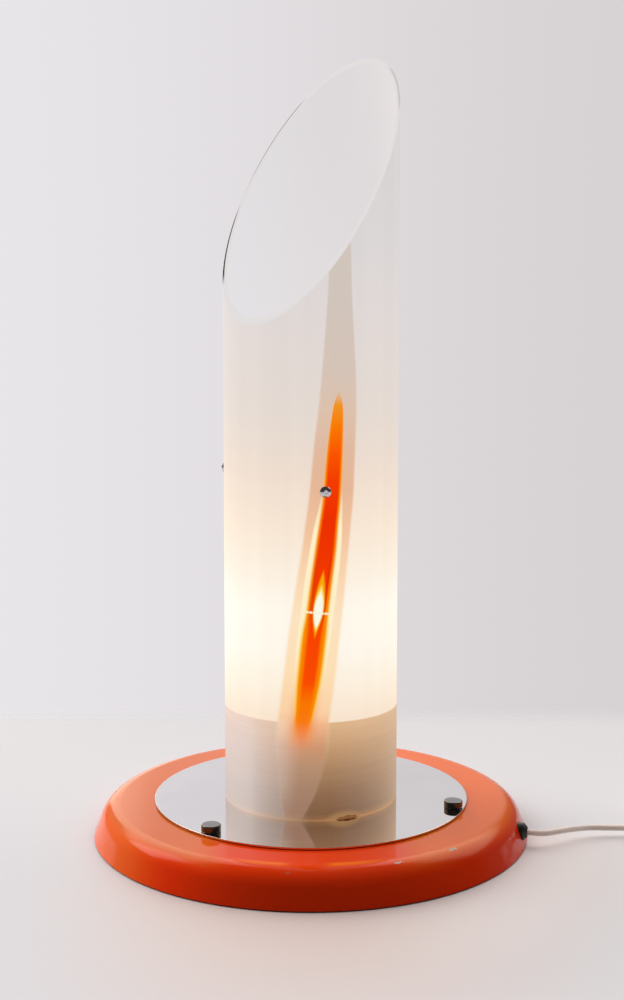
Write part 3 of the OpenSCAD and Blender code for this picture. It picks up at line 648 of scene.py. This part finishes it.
def place_in_streak(tree, place):
    """Where a point lies in the streak: degrees off its middle line, shares of the half widths of the streak
    and of its flame, and degrees past the edge of its clear slit."""
    rise = place.rise
    middle = profile(tree, rise, [
        (up(20), -12.4), (up(32), -10.2), (up(45), -8.1), (up(69), -6.1), (up(88), -5.2), (up(97), -4.0),
        (up(126), -0.3), (up(145), 1.8), (up(164), 4.2), (up(183), 6.5), (up(204), 9.2), (up(222), 11.2),
        (up(241), 13.3), (up(260), 14.5), (up(278), 15.7), (up(306), 17.5), (up(347), 18.2), (up(460), 17.8),
    ], -15.0, 25.0)
    streak_half = profile(tree, rise, [
        (up(20), 1.0), (up(25), 4.8), (up(32), 8.0), (up(45), 11.9), (up(69), 15.6), (up(90), 16.8),
        (up(126), 16.9), (up(164), 16.7), (up(204), 15.4), (up(241), 14.7), (up(278), 13.6), (up(306), 12.3),
        (up(347), 9.6), (up(378), 7.8), (up(460), 7.0),
    ], 0.0, 20.0)
    slit_half = profile(tree, rise, [
        (up(20), 8.0), (up(126), 9.6), (up(145), 10.4), (up(164), 10.4), (up(183), 10.5), (up(204), 9.9),
        (up(232), 7.6), (up(260), 5.4), (up(460), 5.0),
    ], 0.0, 12.0)
    flame_half = profile(tree, rise, [
        (up(20), 0.5), (up(66), 1.8), (up(75), 3.4), (up(82), 4.6), (up(88), 5.3), (up(97), 6.0),
        (up(107), 6.9), (up(126), 7.9), (up(145), 8.0), (up(164), 7.1), (up(183), 6.9), (up(204), 6.7),
        (up(222), 6.1), (up(241), 5.6), (up(260), 5.3), (up(278), 4.6), (up(297), 3.1), (up(303), 1.9),
        (up(309), 0.8), (up(460), 0.5),
    ], 0.0, 10.0)
    aside = calc(tree, "SUBTRACT", place.bearing, middle)
    off = calc(tree, "ABSOLUTE", aside)
    return SimpleNamespace(
        aside=aside,
        off=off,
        share=calc(tree, "DIVIDE", off, streak_half),
        flame_share=calc(tree, "DIVIDE", off, flame_half),
        past_slit=calc(tree, "SUBTRACT", off, slit_half),
    )


def drawn_lines(tree, where, scale, low, high):
    """Fine lines of making, as a factor from low to high."""
    return fade(tree, stretched_noise(tree, where, scale), 0.30, 0.70, low, high)


def clear_streak(tree, place, streak, colour):
    """The clearer streak in the body, with painted shade over the drum and painted glow near the bulb, lines
    of making over both, a warm border and the bulb's light painted in a clear slit.
    """
    rise = place.rise
    z = place.z
    # Painted light and shade of the streak by height: dark over the drum, bright near the bulb
    band = ramp(tree, rise, [
        (up(32), (0.383, 0.219, 0.148)),
        (up(46), (0.421, 0.249, 0.163)),
        (up(60), (0.502, 0.296, 0.179)),
        (up(74), (0.653, 0.329, 0.182)),
        (up(88), (0.921, 0.490, 0.262)),
        (up(97), (1.02, 0.680, 0.405)),
        (up(125), (1.04, 0.785, 0.490)),
        (up(160), (1.03, 0.810, 0.560)),
        (up(191), (1.00, 0.695, 0.445)),
        (up(218), (0.93, 0.575, 0.360)),
        (up(244), (0.83, 0.500, 0.320)),
        (up(270), (0.795, 0.510, 0.365)),
        (up(296), (0.755, 0.565, 0.440)),
        (up(321), (0.700, 0.575, 0.498)),
        (up(373), (0.665, 0.585, 0.525)),
    ])
    pale_band = ramp(tree, rise, [
        (up(32), (0.466, 0.343, 0.283)),
        (up(46), (0.572, 0.432, 0.353)),
        (up(60), (0.625, 0.454, 0.369)),
        (up(74), (0.734, 0.508, 0.388)),
        (up(88), (0.930, 0.646, 0.444)),
        (up(100), (1.02, 0.680, 0.405)),
    ])
    # Paler painted shade over the drum on the streak's left
    paled = times(tree, fade(tree, streak.aside, 2.0, -17.0), fade(tree, z, 0.100, 0.090))
    band = mix(tree, paled, band, pale_band)
    colour = mix(tree, fade(tree, streak.share, 1.04, 0.88), colour, band)
    drawn = drawn_lines(tree, place.where, (70.0, 70.0, 1.5), 0.985, 1.012)
    turned = drawn_lines(tree, place.where, (14.0, 14.0, 750.0), 0.980, 1.016)
    colour = scaled(tree, colour, mix_value(tree, place.over_drum, drawn, turned))
    border = fade(tree, gap(tree, streak.share, 1.0), 0.14, 0.02)
    from_above = fade(tree, z, 0.150, 0.095, 0.0, 0.14)
    from_below = fade(tree, z, 0.060, 0.090, 0.30, 1.0)
    colour = mix(tree, times(tree, border, times(tree, from_above, from_below)), colour, (0.97, 0.76, 0.52))
    # Painted light of the bulb in the clear slit beside the flame
    slit = times(tree, fade(tree, streak.past_slit, 0.5, -0.6), hump(tree, z, 0.112, 0.140, 0.215, 0.256))
    return mix(tree, slit, colour, (1.04, 0.92, 0.61))


def flame(tree, place, streak, colour):
    """The flame in the streak: red inside, orange and then amber at its edge, soft in a glow at its foot."""
    rise = place.rise
    z = place.z
    core = ramp(tree, rise, [
        (up(74), (0.90, 0.19, 0.075)),
        (up(88), (1.00, 0.205, 0.010)),
        (up(103), (1.00, 0.190, 0.000)),
        (up(117), (1.00, 0.075, 0.000)),
        (up(150), (1.00, 0.058, 0.000)),
        (up(195), (0.93, 0.040, 0.000)),
        (up(225), (0.88, 0.031, 0.000)),
        (up(250), (0.96, 0.048, 0.000)),
        (up(268), (1.00, 0.095, 0.000)),
        (up(285), (1.00, 0.200, 0.001)),
        (up(302), (0.88, 0.340, 0.020)),
    ])
    glow = fade(tree, streak.off, 12.0, 4.0, 0.0, 0.42)
    glow = times(tree, glow, hump(tree, z, 0.068, 0.084, 0.098, 0.118))
    colour = mix(tree, glow, colour, (0.95, 0.27, 0.06))

    def higher_up(below, above):
        return fade(tree, z, 0.14, 0.20, below, above)

    to_orange = fade(tree, streak.flame_share, higher_up(0.36, 0.60), higher_up(0.74, 0.92))
    burning = mix(tree, to_orange, core, (1.0, 0.25, 0.001))
    to_amber = fade(tree, streak.flame_share, higher_up(0.74, 0.90), higher_up(1.02, 1.12))
    to_amber = times(tree, to_amber, fade(tree, z, 0.086, 0.102))
    burning = mix(tree, to_amber, burning, (1.0, 0.62, 0.03))
    edge_out = fade(tree, z, 0.098, 0.076, 1.20, 1.60)
    edge_in = fade(tree, z, 0.098, 0.076, 0.84, 0.20)
    shown = fade(tree, streak.flame_share, edge_out, edge_in)
    shown = times(tree, shown, hump(tree, z, 0.070, 0.092, 0.298, 0.310))
    return mix(tree, shown, colour, burning)


def light_in_flame(tree, place, streak, colour):
    """The bulb's light painted where it shows straight through the flame: a white almond in amber ones,
    a red line of painted shade on each side, and the image of the glowing wire."""
    z = place.z
    beside = gap(tree, gap(tree, streak.aside, -0.3), 4.3)
    dark_line = times(tree, fade(tree, beside, 1.1, 0.2), hump(tree, z, 0.148, 0.166, 0.186, 0.212), 0.60)
    colour = mix(tree, dark_line, colour, (0.62, 0.030, 0.001))
    for centre, half_height, half_width, edge_from, edge_to, light in ALMONDS:
        tall = calc(tree, "DIVIDE", calc(tree, "SUBTRACT", z, centre), half_height)
        wide = calc(tree, "DIVIDE", gap(tree, streak.aside, 0.4), half_width)
        reach = calc(tree, "MULTIPLY_ADD", tall, tall, wide)
        colour = mix(tree, fade(tree, reach, edge_from, edge_to), colour, light)
    wire_z = calc(tree, "MULTIPLY_ADD", streak.aside, -0.0001, 0.1633)
    wire_line = fade(tree, gap(tree, z, wire_z), 0.0010, 0.0004)
    wire_end = fade(tree, streak.off, 8.6, 7.6)
    bead = fade(tree, calc(tree, "SINE", times(tree, streak.aside, 2.6)), -1.0, 0.2, 0.45, 1.0)
    return mix(tree, times(tree, wire_line, wire_end, bead), colour, (1.0, 0.95, 0.66))


def foot_light_and_flake_shade(tree, place, colour):
    """The ground edge at the foot, painted with the light and shade it catches, and the flake broken out of
    it, dark with painted shade inside, in a brown halo.
    """
    turn = place.turn
    z = place.z
    # Painted light and shade on the ground edge at the foot: lighter on the left, dark brown in front
    line = fade(tree, z, PLATE_TOP + 0.0012, PLATE_TOP + 0.0005)
    line = highest(tree, line, fade(tree, z, PLATE_TOP + 0.0050, PLATE_TOP + 0.0006, 0.0, 0.40))
    ground = ramp(tree, turn, [
        (at(-60), (0.78, 0.60, 0.53)),
        (at(-46), (0.82, 0.61, 0.51)),
        (at(-29), (0.64, 0.44, 0.32)),
        (at(-15), (0.50, 0.32, 0.19)),
        (at(0), (0.40, 0.20, 0.09)),
        (at(9), (0.46, 0.22, 0.10)),
        (at(42), (0.58, 0.30, 0.14)),
        (at(57), (0.62, 0.38, 0.22)),
    ])
    colour = mix(tree, line, colour, ground)
    wide = calc(tree, "DIVIDE", calc(tree, "SUBTRACT", place.bearing, FLAKE_BEARING - 1.5), 13.0)
    tall = calc(tree, "DIVIDE", calc(tree, "SUBTRACT", z, PLATE_TOP), 0.0064)
    halo = calc(tree, "MULTIPLY_ADD", tall, tall, times(tree, wide, wide))
    colour = mix(tree, fade(tree, halo, 1.2, 0.15, 0.0, 0.55), colour, (0.48, 0.265, 0.105))
    near_flake = fade(tree, gap(tree, place.bearing, FLAKE_BEARING), 10.0, 9.0)
    low_down = fade(tree, z, PLATE_TOP + 0.0040, PLATE_TOP + 0.0034)
    under_skin = fade(tree, place.radius, GLASS_R - 0.0002, GLASS_R - 0.0005)
    into_flake = fade(tree, z, PLATE_TOP + 0.0004, PLATE_TOP + 0.0014)
    # Painted shade inside the flake, darker towards its top
    broken = mix(tree, into_flake, (0.30, 0.125, 0.050), (0.10, 0.030, 0.010))
    return mix(tree, times(tree, near_flake, low_down, under_skin), colour, broken)


def bore_and_rim(tree, place, colour):
    """The bore, with painted light and shade making it lighter on the left and darker on the right, and the
    polished rim, with a painted dark reflection along parts of its outer edge.
    """
    # Painted light and shade in the bore: lighter on the left, darker on the right
    bore = mix(tree, fade(tree, place.x, -0.055, 0.055), (0.775, 0.755, 0.775), (0.755, 0.715, 0.722))
    inside = fade(tree, place.radius, GLASS_BORE + 0.0008, GLASS_BORE + 0.0003)
    colour = mix(tree, inside, colour, bore)
    slope = math.tan(CUT_SLOPE)
    level = times(tree, place.x, slope * math.cos(CUT_TOWARDS))
    level = calc(tree, "MULTIPLY_ADD", place.y, slope * math.sin(CUT_TOWARDS), level)
    under = calc(tree, "SUBTRACT", calc(tree, "ADD", level, CUT_HEIGHT), place.z)
    colour = mix(tree, fade(tree, under, 0.0012, 0.0006), colour, (0.760, 0.732, 0.728))
    # Painted dark reflection along the rim's outer edge: on the left, fainter at the back, faintest on the
    # right
    left_line = hump(tree, place.bearing, -126.0, -114.0, -90.0, -82.0)
    back_line = hump(tree, place.bearing, -178.0, -170.0, -150.0, -120.0)
    right_line = hump(tree, place.bearing, 80.0, 88.0, 108.0, 118.0)
    line = highest(tree, left_line, times(tree, back_line, 0.6), times(tree, right_line, 0.25))
    outer = fade(tree, place.radius, GLASS_R - 0.0015, GLASS_R - 0.0009)
    on_edge = times(tree, outer, fade(tree, under, 0.0020, 0.0012))
    return mix(tree, times(tree, line, on_edge), colour, (0.05, 0.045, 0.04))


def lit_opal():
    """Cased opal glass over the burning bulb, its glow painted in: milky, warm near the light, in painted
    shade over the drum, with one clear streak that carries a flame of orange and red."""
    material, tree, shader = new_finish("lit_opal")
    place = place_on_glass(tree)
    streak = place_in_streak(tree, place)
    colour = glow_and_drum_shade(tree, place)
    colour = clear_streak(tree, place, streak, colour)
    colour = flame(tree, place, streak, colour)
    colour = light_in_flame(tree, place, streak, colour)
    colour = foot_light_and_flake_shade(tree, place, colour)
    colour = bore_and_rim(tree, place, colour)
    feed(tree, scaled(tree, colour, GLASS_BODY), shader.inputs["Base Color"])
    feed(tree, scaled(tree, colour, GLASS_GLOW), shader.inputs["Emission Color"])
    shader.inputs["Emission Strength"].default_value = 1.0
    shader.inputs["Specular IOR Level"].default_value = 0.0
    tone, height = marks(tree, 120.0, 18.0)
    feed(tree, fade(tree, tone, 0.0, 1.0, 0.26, 0.34), shader.inputs["Roughness"])
    raise_surface(tree, shader, height, 0.03, 0.0003)
    return material


FINISHES = {
    "orange_enamel": orange_enamel(),
    "mirror_steel": mirror_steel(),
    "opal_glass": lit_opal(),
    "clear_glass": clear_glass(),
    "filament": glowing_wire(),
    "dark_steel": worked_finish("dark_steel", (0.030, 0.030, 0.032), (0.052, 0.052, 0.054), (0.45, 0.62)),
    "steel": worked_finish("zinc_steel", (0.50, 0.50, 0.52), (0.64, 0.64, 0.66), (0.25, 0.40), metallic=1.0),
    "brass": worked_finish("brass", (0.62, 0.40, 0.14), (0.75, 0.53, 0.22), (0.20, 0.36), metallic=1.0),
    "chrome": worked_finish(
        "chrome", (0.70, 0.70, 0.71), (0.80, 0.80, 0.81), (0.12, 0.22), metallic=1.0, bump=0.02,
    ),
    "felt": worked_finish(
        "felt", (0.010, 0.010, 0.010), (0.030, 0.029, 0.028), (0.92, 1.0),
        fine=2600.0, broad=300.0, bump=0.6,
    ),
    "fibre": worked_finish(
        "pressed_fibre", (0.50, 0.42, 0.30), (0.60, 0.52, 0.39), (0.65, 0.8),
        fine=1500.0, broad=200.0, bump=0.2,
    ),
    "black_metal": worked_finish(
        "satin_black", (0.006, 0.006, 0.006), (0.014, 0.013, 0.012), (0.18, 0.26),
        fine=900.0, broad=120.0, bump=0.06, coat=1.0, specular=0.8,
    ),
    "black_plastic": worked_finish(
        "black_plastic", (0.010, 0.010, 0.011), (0.020, 0.020, 0.021), (0.32, 0.46),
        fine=1400.0, broad=160.0, bump=0.10,
    ),
    "white_enamel": worked_finish(
        "white_enamel", (0.70, 0.66, 0.60), (0.78, 0.75, 0.70), (0.22, 0.34), fine=300.0, broad=20.0,
    ),
    "porcelain": worked_finish(
        "porcelain", (0.78, 0.76, 0.71), (0.84, 0.83, 0.80), (0.12, 0.22), fine=400.0, broad=60.0,
    ),
    "nylon": worked_finish(
        "nylon", (0.74, 0.72, 0.67), (0.82, 0.81, 0.77), (0.35, 0.5), fine=900.0, broad=90.0,
    ),
    "white_cord": worked_finish(
        "white_cord", (0.92, 0.77, 0.68), (0.96, 0.84, 0.77), (0.36, 0.52),
        fine=1600.0, broad=55.0, bump=0.10,
    ),
    "lead_cover": worked_finish("lead_cover", (0.16, 0.07, 0.035), (0.24, 0.11, 0.055), (0.35, 0.5)),
    "white_plastic": worked_finish(
        "white_plastic", (0.70, 0.69, 0.66), (0.77, 0.765, 0.74), (0.24, 0.36),
        fine=1500.0, broad=50.0, bump=0.06,
    ),
}


# Pieces

# Angles in degrees: what still counts as flat, edges that are eased, and edges that are shaded sharp
FLAT_TO = 0.4
EASED_FROM = 30.0
SHARP_FROM = 38.0
SHARP_ON_GLASS = 32.0

# Points nearer than this are one
SAME_PLACE = 1e-6


def piece_from(bm, name, body, slot, replaced, sharp_from=SHARP_FROM):
    """Makes an object of a bmesh in place: it rides on a body and stands for its solids."""
    for face in bm.faces:
        face.smooth = True
    for edge in bm.edges:
        sharp = len(edge.link_faces) == 2 and edge.calc_face_angle() > math.radians(sharp_from)
        edge.smooth = not sharp
    mesh = bpy.data.meshes.new(name)
    bm.to_mesh(mesh)
    bm.free()
    mesh.materials.append(FINISHES[slot])
    piece = bpy.data.objects.new(name, mesh)
    bpy.context.scene.collection.objects.link(piece)
    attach(piece, body)
    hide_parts(*replaced)
    return piece


def sharp_edges(bm):
    """Edges that stand out and turn enough to be eased."""
    least = math.radians(EASED_FROM)
    return [e for e in bm.edges if len(e.link_faces) == 2 and e.is_convex and e.calc_face_angle() > least]


def soften(bm, edges, width, segments=3):
    """Rounds edges over to a width."""
    bmesh.ops.bevel(bm, geom=edges, offset=width, offset_type="OFFSET", affect="EDGES", segments=segments,
                    profile=0.5, material=-1, clamp_overlap=True)


def even_shading(piece):
    modifier = piece.modifiers.new("even_shading", "WEIGHTED_NORMAL")
    modifier.keep_sharp = True


def eased(node, name, width, segments):
    """A copy of a solid with its sharp edges eased, as the real piece has them."""
    source = nodes[node]
    bm = bmesh.new()
    bm.from_mesh(source.data)
    bmesh.ops.remove_doubles(bm, verts=bm.verts[:], dist=SAME_PLACE)
    bmesh.ops.dissolve_limit(bm, angle_limit=math.radians(FLAT_TO), verts=bm.verts[:], edges=bm.edges[:])
    soften(bm, sharp_edges(bm), width, segments)
    piece = piece_from(bm, name, source["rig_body"], slot_of[node], [node])
    even_shading(piece)
    return piece


def around(bearing, r, z):
    """A point at a bearing, counted from the front towards the right."""
    a = math.radians(bearing)
    return Vector((r * math.sin(a), -r * math.cos(a), z))


def linked(name, bm):
    """A plain helper object made of a bmesh."""
    mesh = bpy.data.meshes.new(name)
    bm.to_mesh(mesh)
    bm.free()
    helper = bpy.data.objects.new(name, mesh)
    bpy.context.scene.collection.objects.link(helper)
    return helper


def cutters():
    """The drill holes and the shell-shaped chip at the foot, to be taken out of the tube."""
    bm = bmesh.new()
    for bearing, height in HOLES:
        turn = Matrix.Rotation(math.radians(bearing - 90), 4, "Z") @ Matrix.Rotation(math.radians(90), 4, "Y")
        place = Matrix.Translation(around(bearing, (GLASS_R + GLASS_BORE) / 2, height)) @ turn
        bmesh.ops.create_cone(bm, cap_ends=True, segments=32, radius1=HOLE_R, radius2=HOLE_R,
                              depth=DRILL_LENGTH, matrix=place)
    for off, half_long, deep, tall in FLAKE_LOBES:
        turn = Matrix.Rotation(math.radians(FLAKE_BEARING + off), 4, "Z")
        size = Matrix.Diagonal((half_long, deep, tall, 1.0))
        centre = around(FLAKE_BEARING + off, GLASS_R + FLAKE_PROUD, PLATE_TOP)
        place = Matrix.Translation(centre) @ turn @ size
        bmesh.ops.create_icosphere(bm, subdivisions=3, radius=1.0, matrix=place)
    return linked("cutters", bm)


def tube_wall():
    """A spun wall cut off on the slant, with its edges fire-polished."""
    bm = bmesh.new()
    section = [(GLASS_BORE, PLATE_TOP), (GLASS_R, PLATE_TOP), (GLASS_R, STOCK_TOP), (GLASS_BORE, STOCK_TOP)]
    verts = [bm.verts.new((r, 0, z)) for r, z in section]
    edges = [bm.edges.new((verts[i], verts[(i + 1) % 4])) for i in range(4)]
    bmesh.ops.spin(bm, geom=verts + edges, cent=(0, 0, 0), axis=(0, 0, 1), angle=2 * math.pi,
                   steps=TUBE_SIDES, use_merge=True)
    bmesh.ops.remove_doubles(bm, verts=bm.verts[:], dist=SAME_PLACE)
    slope = math.tan(CUT_SLOPE)
    normal = Vector((-slope * math.cos(CUT_TOWARDS), -slope * math.sin(CUT_TOWARDS), 1)).normalized()
    cut = bmesh.ops.bisect_plane(bm, geom=bm.verts[:] + bm.edges[:] + bm.faces[:],
                                 plane_co=(0, 0, CUT_HEIGHT), plane_no=normal, clear_outer=True)
    bmesh.ops.bridge_loops(bm, edges=[e for e in cut["geom_cut"] if isinstance(e, bmesh.types.BMEdge)])
    bmesh.ops.recalc_face_normals(bm, faces=bm.faces[:])
    soften(bm, sharp_edges(bm), POLISHED_EDGE)
    return linked("tube_wall", bm)


def tube_of_glass():
    """The tube: its wall with the holes and the chip taken out."""
    wall = tube_wall()
    cutter = cutters()
    taking = wall.modifiers.new("taking", "BOOLEAN")
    taking.operation = "DIFFERENCE"
    taking.solver = "EXACT"
    taking.use_self = True
    taking.object = cutter
    bm = bmesh.new()
    bm.from_object(wall, bpy.context.evaluated_depsgraph_get())
    for helper in (wall, cutter):
        bpy.data.objects.remove(helper)
    piece = piece_from(bm, "opal_tube", "glass", "opal_glass", ["glass_tube"], SHARP_ON_GLASS)
    even_shading(piece)


# Pieces that stand for a solid with its edges eased: node, name of the piece, width, and segments across it
EASED_PIECES = (
    ("mirror_plate", "polished_plate", 0.00025, 3),
    ("nut_left", "thumb_nut_left", 0.0003, 3),
    ("nut_right", "thumb_nut_right", 0.0003, 3),
    ("nut_rear", "thumb_nut_rear", 0.0003, 3),
    ("gland", "cord_gland", 0.0004, 3),
    ("drum", "inner_drum", 0.0004, 3),
    ("glass_screws", "socket_screws", 0.00025, 3),
    ("screw_washers", "collar_washers", 0.0001, 3),
    ("switch_lower", "switch_foot", 0.0010, 3),
    ("switch_upper", "switch_lid", 0.0009, 3),
    ("rocker", "rocker_key", 0.0007, 3),
    ("plug_body", "plug_shell", 0.0022, 4),
    ("plug_pins", "plug_prongs", 0.0009, 3),
    ("plug_sleeve", "plug_grip", 0.0005, 3),
    ("coil_ties", "coil_bands", 0.0003, 3),
    ("base_cover", "foot_cover", 0.0005, 3),
    ("holder_cap", "holder_cup", 0.0006, 3),
    ("holder_skirt", "holder_ring", 0.0006, 3),
    ("terminal_block", "lead_block", 0.0006, 3),
)

for node, piece in nodes.items():
    piece.data.materials.clear()
    piece.data.materials.append(FINISHES[slot_of[node]])

tube_of_glass()
made = {name: eased(node, name, width, segments) for node, name, width, segments in EASED_PIECES}

for cord, replaced in ((cord_free, "cord_tube"), (cord_wound, "cord_coil")):
    cord.data.materials.append(FINISHES["white_cord"])
    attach(cord, "lamp")
    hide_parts(replaced)


# Stage and light

FLOOR_HALF = 6.0


def table_colour(tree, tone, x, y, distance):
    """Pale, with painted shade and light: darker and cooler on the left and lighter on the right, a painted
    pool of the lamp's warm light in front of it, and painted light that lifts the shadow at its right front.
    """
    # Painted shade and light across the table: darker and cooler on the left, lighter on the right
    across = fade(tree, x, -0.35, 0.35)
    front = mix(tree, across, (0.607, 0.640, 0.694), (0.780, 0.795, 0.820))
    back = mix(tree, across, (0.648, 0.660, 0.684), (0.685, 0.690, 0.705))
    floor_tone_and_painted_light = mix(tree, fade(tree, y, 0.30, -0.50), back, front)
    aside = calc(tree, "ABSOLUTE", x)
    # Painted pool of the lamp's warm light in front of it
    painted_lamp_light = times(tree, fade(tree, distance, 0.44, 0.14), fade(tree, y, 0.0, -0.14))
    painted_lamp_light = times(tree, painted_lamp_light, fade(tree, aside, 0.22, 0.03))
    floor_tone_and_painted_light = mix(tree, painted_lamp_light, floor_tone_and_painted_light, (0.715, 0.612, 0.575))
    # Painted light lifting the lamp's shadow at its right front
    lighter = times(tree, fade(tree, distance, 0.27, 0.16), fade(tree, x, 0.0, 0.14))
    lighter = times(tree, lighter, fade(tree, y, 0.0, -0.04))
    floor_tone_and_painted_light = mix(tree, lighter, floor_tone_and_painted_light, (0.86, 0.81, 0.79))
    return scaled(tree, floor_tone_and_painted_light, fade(tree, tone, 0.0, 1.0, 0.993, 1.0))


def table_top():
    """A matt surface with painted light and shade in its colour, that throws less light back under the lamp,
    and ends behind it for the camera.
    """
    material, tree, shader = new_finish("table_top")
    tone, _ = marks(tree, 220.0, 3.0)
    where = coordinates(tree)
    x, y, _ = axes(tree, where)
    length = tree.nodes.new("ShaderNodeVectorMath")
    length.operation = "LENGTH"
    feed(tree, where, length.inputs[0])
    floor_tone_and_painted_light = table_colour(tree, tone, x, y, length.outputs["Value"])
    path = tree.nodes.new("ShaderNodeLightPath")
    held_back = fade(tree, calc(tree, "ABSOLUTE", x), 0.16, 0.05, -0.15, -0.65)
    thrown_back = calc(tree, "MULTIPLY_ADD", path.outputs["Is Diffuse Ray"], held_back, 1.0)
    feed(tree, scaled(tree, floor_tone_and_painted_light, thrown_back), shader.inputs["Base Color"])
    shader.inputs["Roughness"].default_value = 0.55
    shader.inputs["Specular IOR Level"].default_value = 0.25
    gone = tree.nodes.new("ShaderNodeBsdfTransparent")
    both = tree.nodes.new("ShaderNodeMixShader")
    feed(tree, times(tree, fade(tree, y, 0.26, 0.34), path.outputs["Is Camera Ray"]), both.inputs[0])
    feed(tree, shader.outputs[0], both.inputs[1])
    feed(tree, gone.outputs[0], both.inputs[2])
    feed(tree, both.outputs[0], tree.nodes["Material Output"].inputs["Surface"])
    return material


def floor():
    """A pale table top. Past its back edge only the backdrop shows to the camera."""
    bm = bmesh.new()
    bmesh.ops.create_grid(bm, x_segments=1, y_segments=1, size=FLOOR_HALF)
    piece = linked("table_top", bm)
    piece.data.materials.append(table_top())


def surroundings():
    """A pale wall behind, a bright ceiling and left side, and a dim room in front and on the right."""
    world = bpy.data.worlds.new("studio")
    bpy.context.scene.world = world
    world.use_nodes = True
    tree = world.node_tree
    shown = tree.nodes["Background"]
    x, y, z = axes(tree, tree.nodes.new("ShaderNodeTexCoord").outputs["Generated"])
    wall = mix(tree, fade(tree, x, -0.30, 0.30), (0.815, 0.790, 0.820), (0.675, 0.640, 0.650))

    # What lights the lamp and the table
    sides = mix(tree, fade(tree, x, -0.18, -0.42), wall, (4.00, 3.80, 3.65))
    sides = mix(tree, fade(tree, x, 0.20, 0.45), sides, (0.34, 0.32, 0.32))
    light = mix(tree, fade(tree, y, -0.25, 0.45), (0.04, 0.037, 0.035), sides)
    overhead = mix(tree, fade(tree, y, -0.45, 0.30), (0.35, 0.33, 0.33), (1.75, 1.69, 1.69))
    light = mix(tree, fade(tree, z, 0.38, 0.90), light, overhead)

    # What shows in gloss: the wall, a window at its left end, a lit strip above, and darkness elsewhere
    gloss = mix(tree, fade(tree, x, -0.115, -0.160), wall, (1.90, 1.68, 1.45))
    gloss = mix(tree, fade(tree, x, -0.37, -0.42), gloss, (0.22, 0.18, 0.16))
    gloss = mix(tree, fade(tree, x, 0.22, 0.36), gloss, (0.20, 0.17, 0.16))
    gloss = mix(tree, fade(tree, z, 0.40, 0.56), gloss, (2.40, 2.10, 1.80))
    gloss = mix(tree, fade(tree, z, 0.80, 0.90), gloss, (0.07, 0.06, 0.06))
    gloss = mix(tree, fade(tree, y, 0.02, 0.30), (0.05, 0.045, 0.04), gloss)

    path = tree.nodes.new("ShaderNodeLightPath")
    direct = highest(tree, path.outputs["Is Camera Ray"], path.outputs["Is Transmission Ray"])
    room = mix(tree, path.outputs["Is Glossy Ray"], light, gloss)
    feed(tree, mix(tree, direct, room, wall), shown.inputs["Color"])
    shown.inputs["Strength"].default_value = 1.0


def soft_lamp(name, place, aim, size, power):
    """A square area lamp at a place, turned to what it lights."""
    data = bpy.data.lights.new(name, "AREA")
    data.shape = "SQUARE"
    data.size = size
    data.energy = power
    lamp = bpy.data.objects.new(name, data)
    lamp.location = place
    lamp.rotation_mode = "QUATERNION"
    lamp.rotation_quaternion = (Vector(aim) - Vector(place)).to_track_quat("-Z", "Y")
    bpy.context.scene.collection.objects.link(lamp)


floor()
surroundings()
soft_lamp("left_softbox", place=(-1.5, 0.5, 1.3), aim=(0, 0, 0.15), size=0.9, power=4.0)
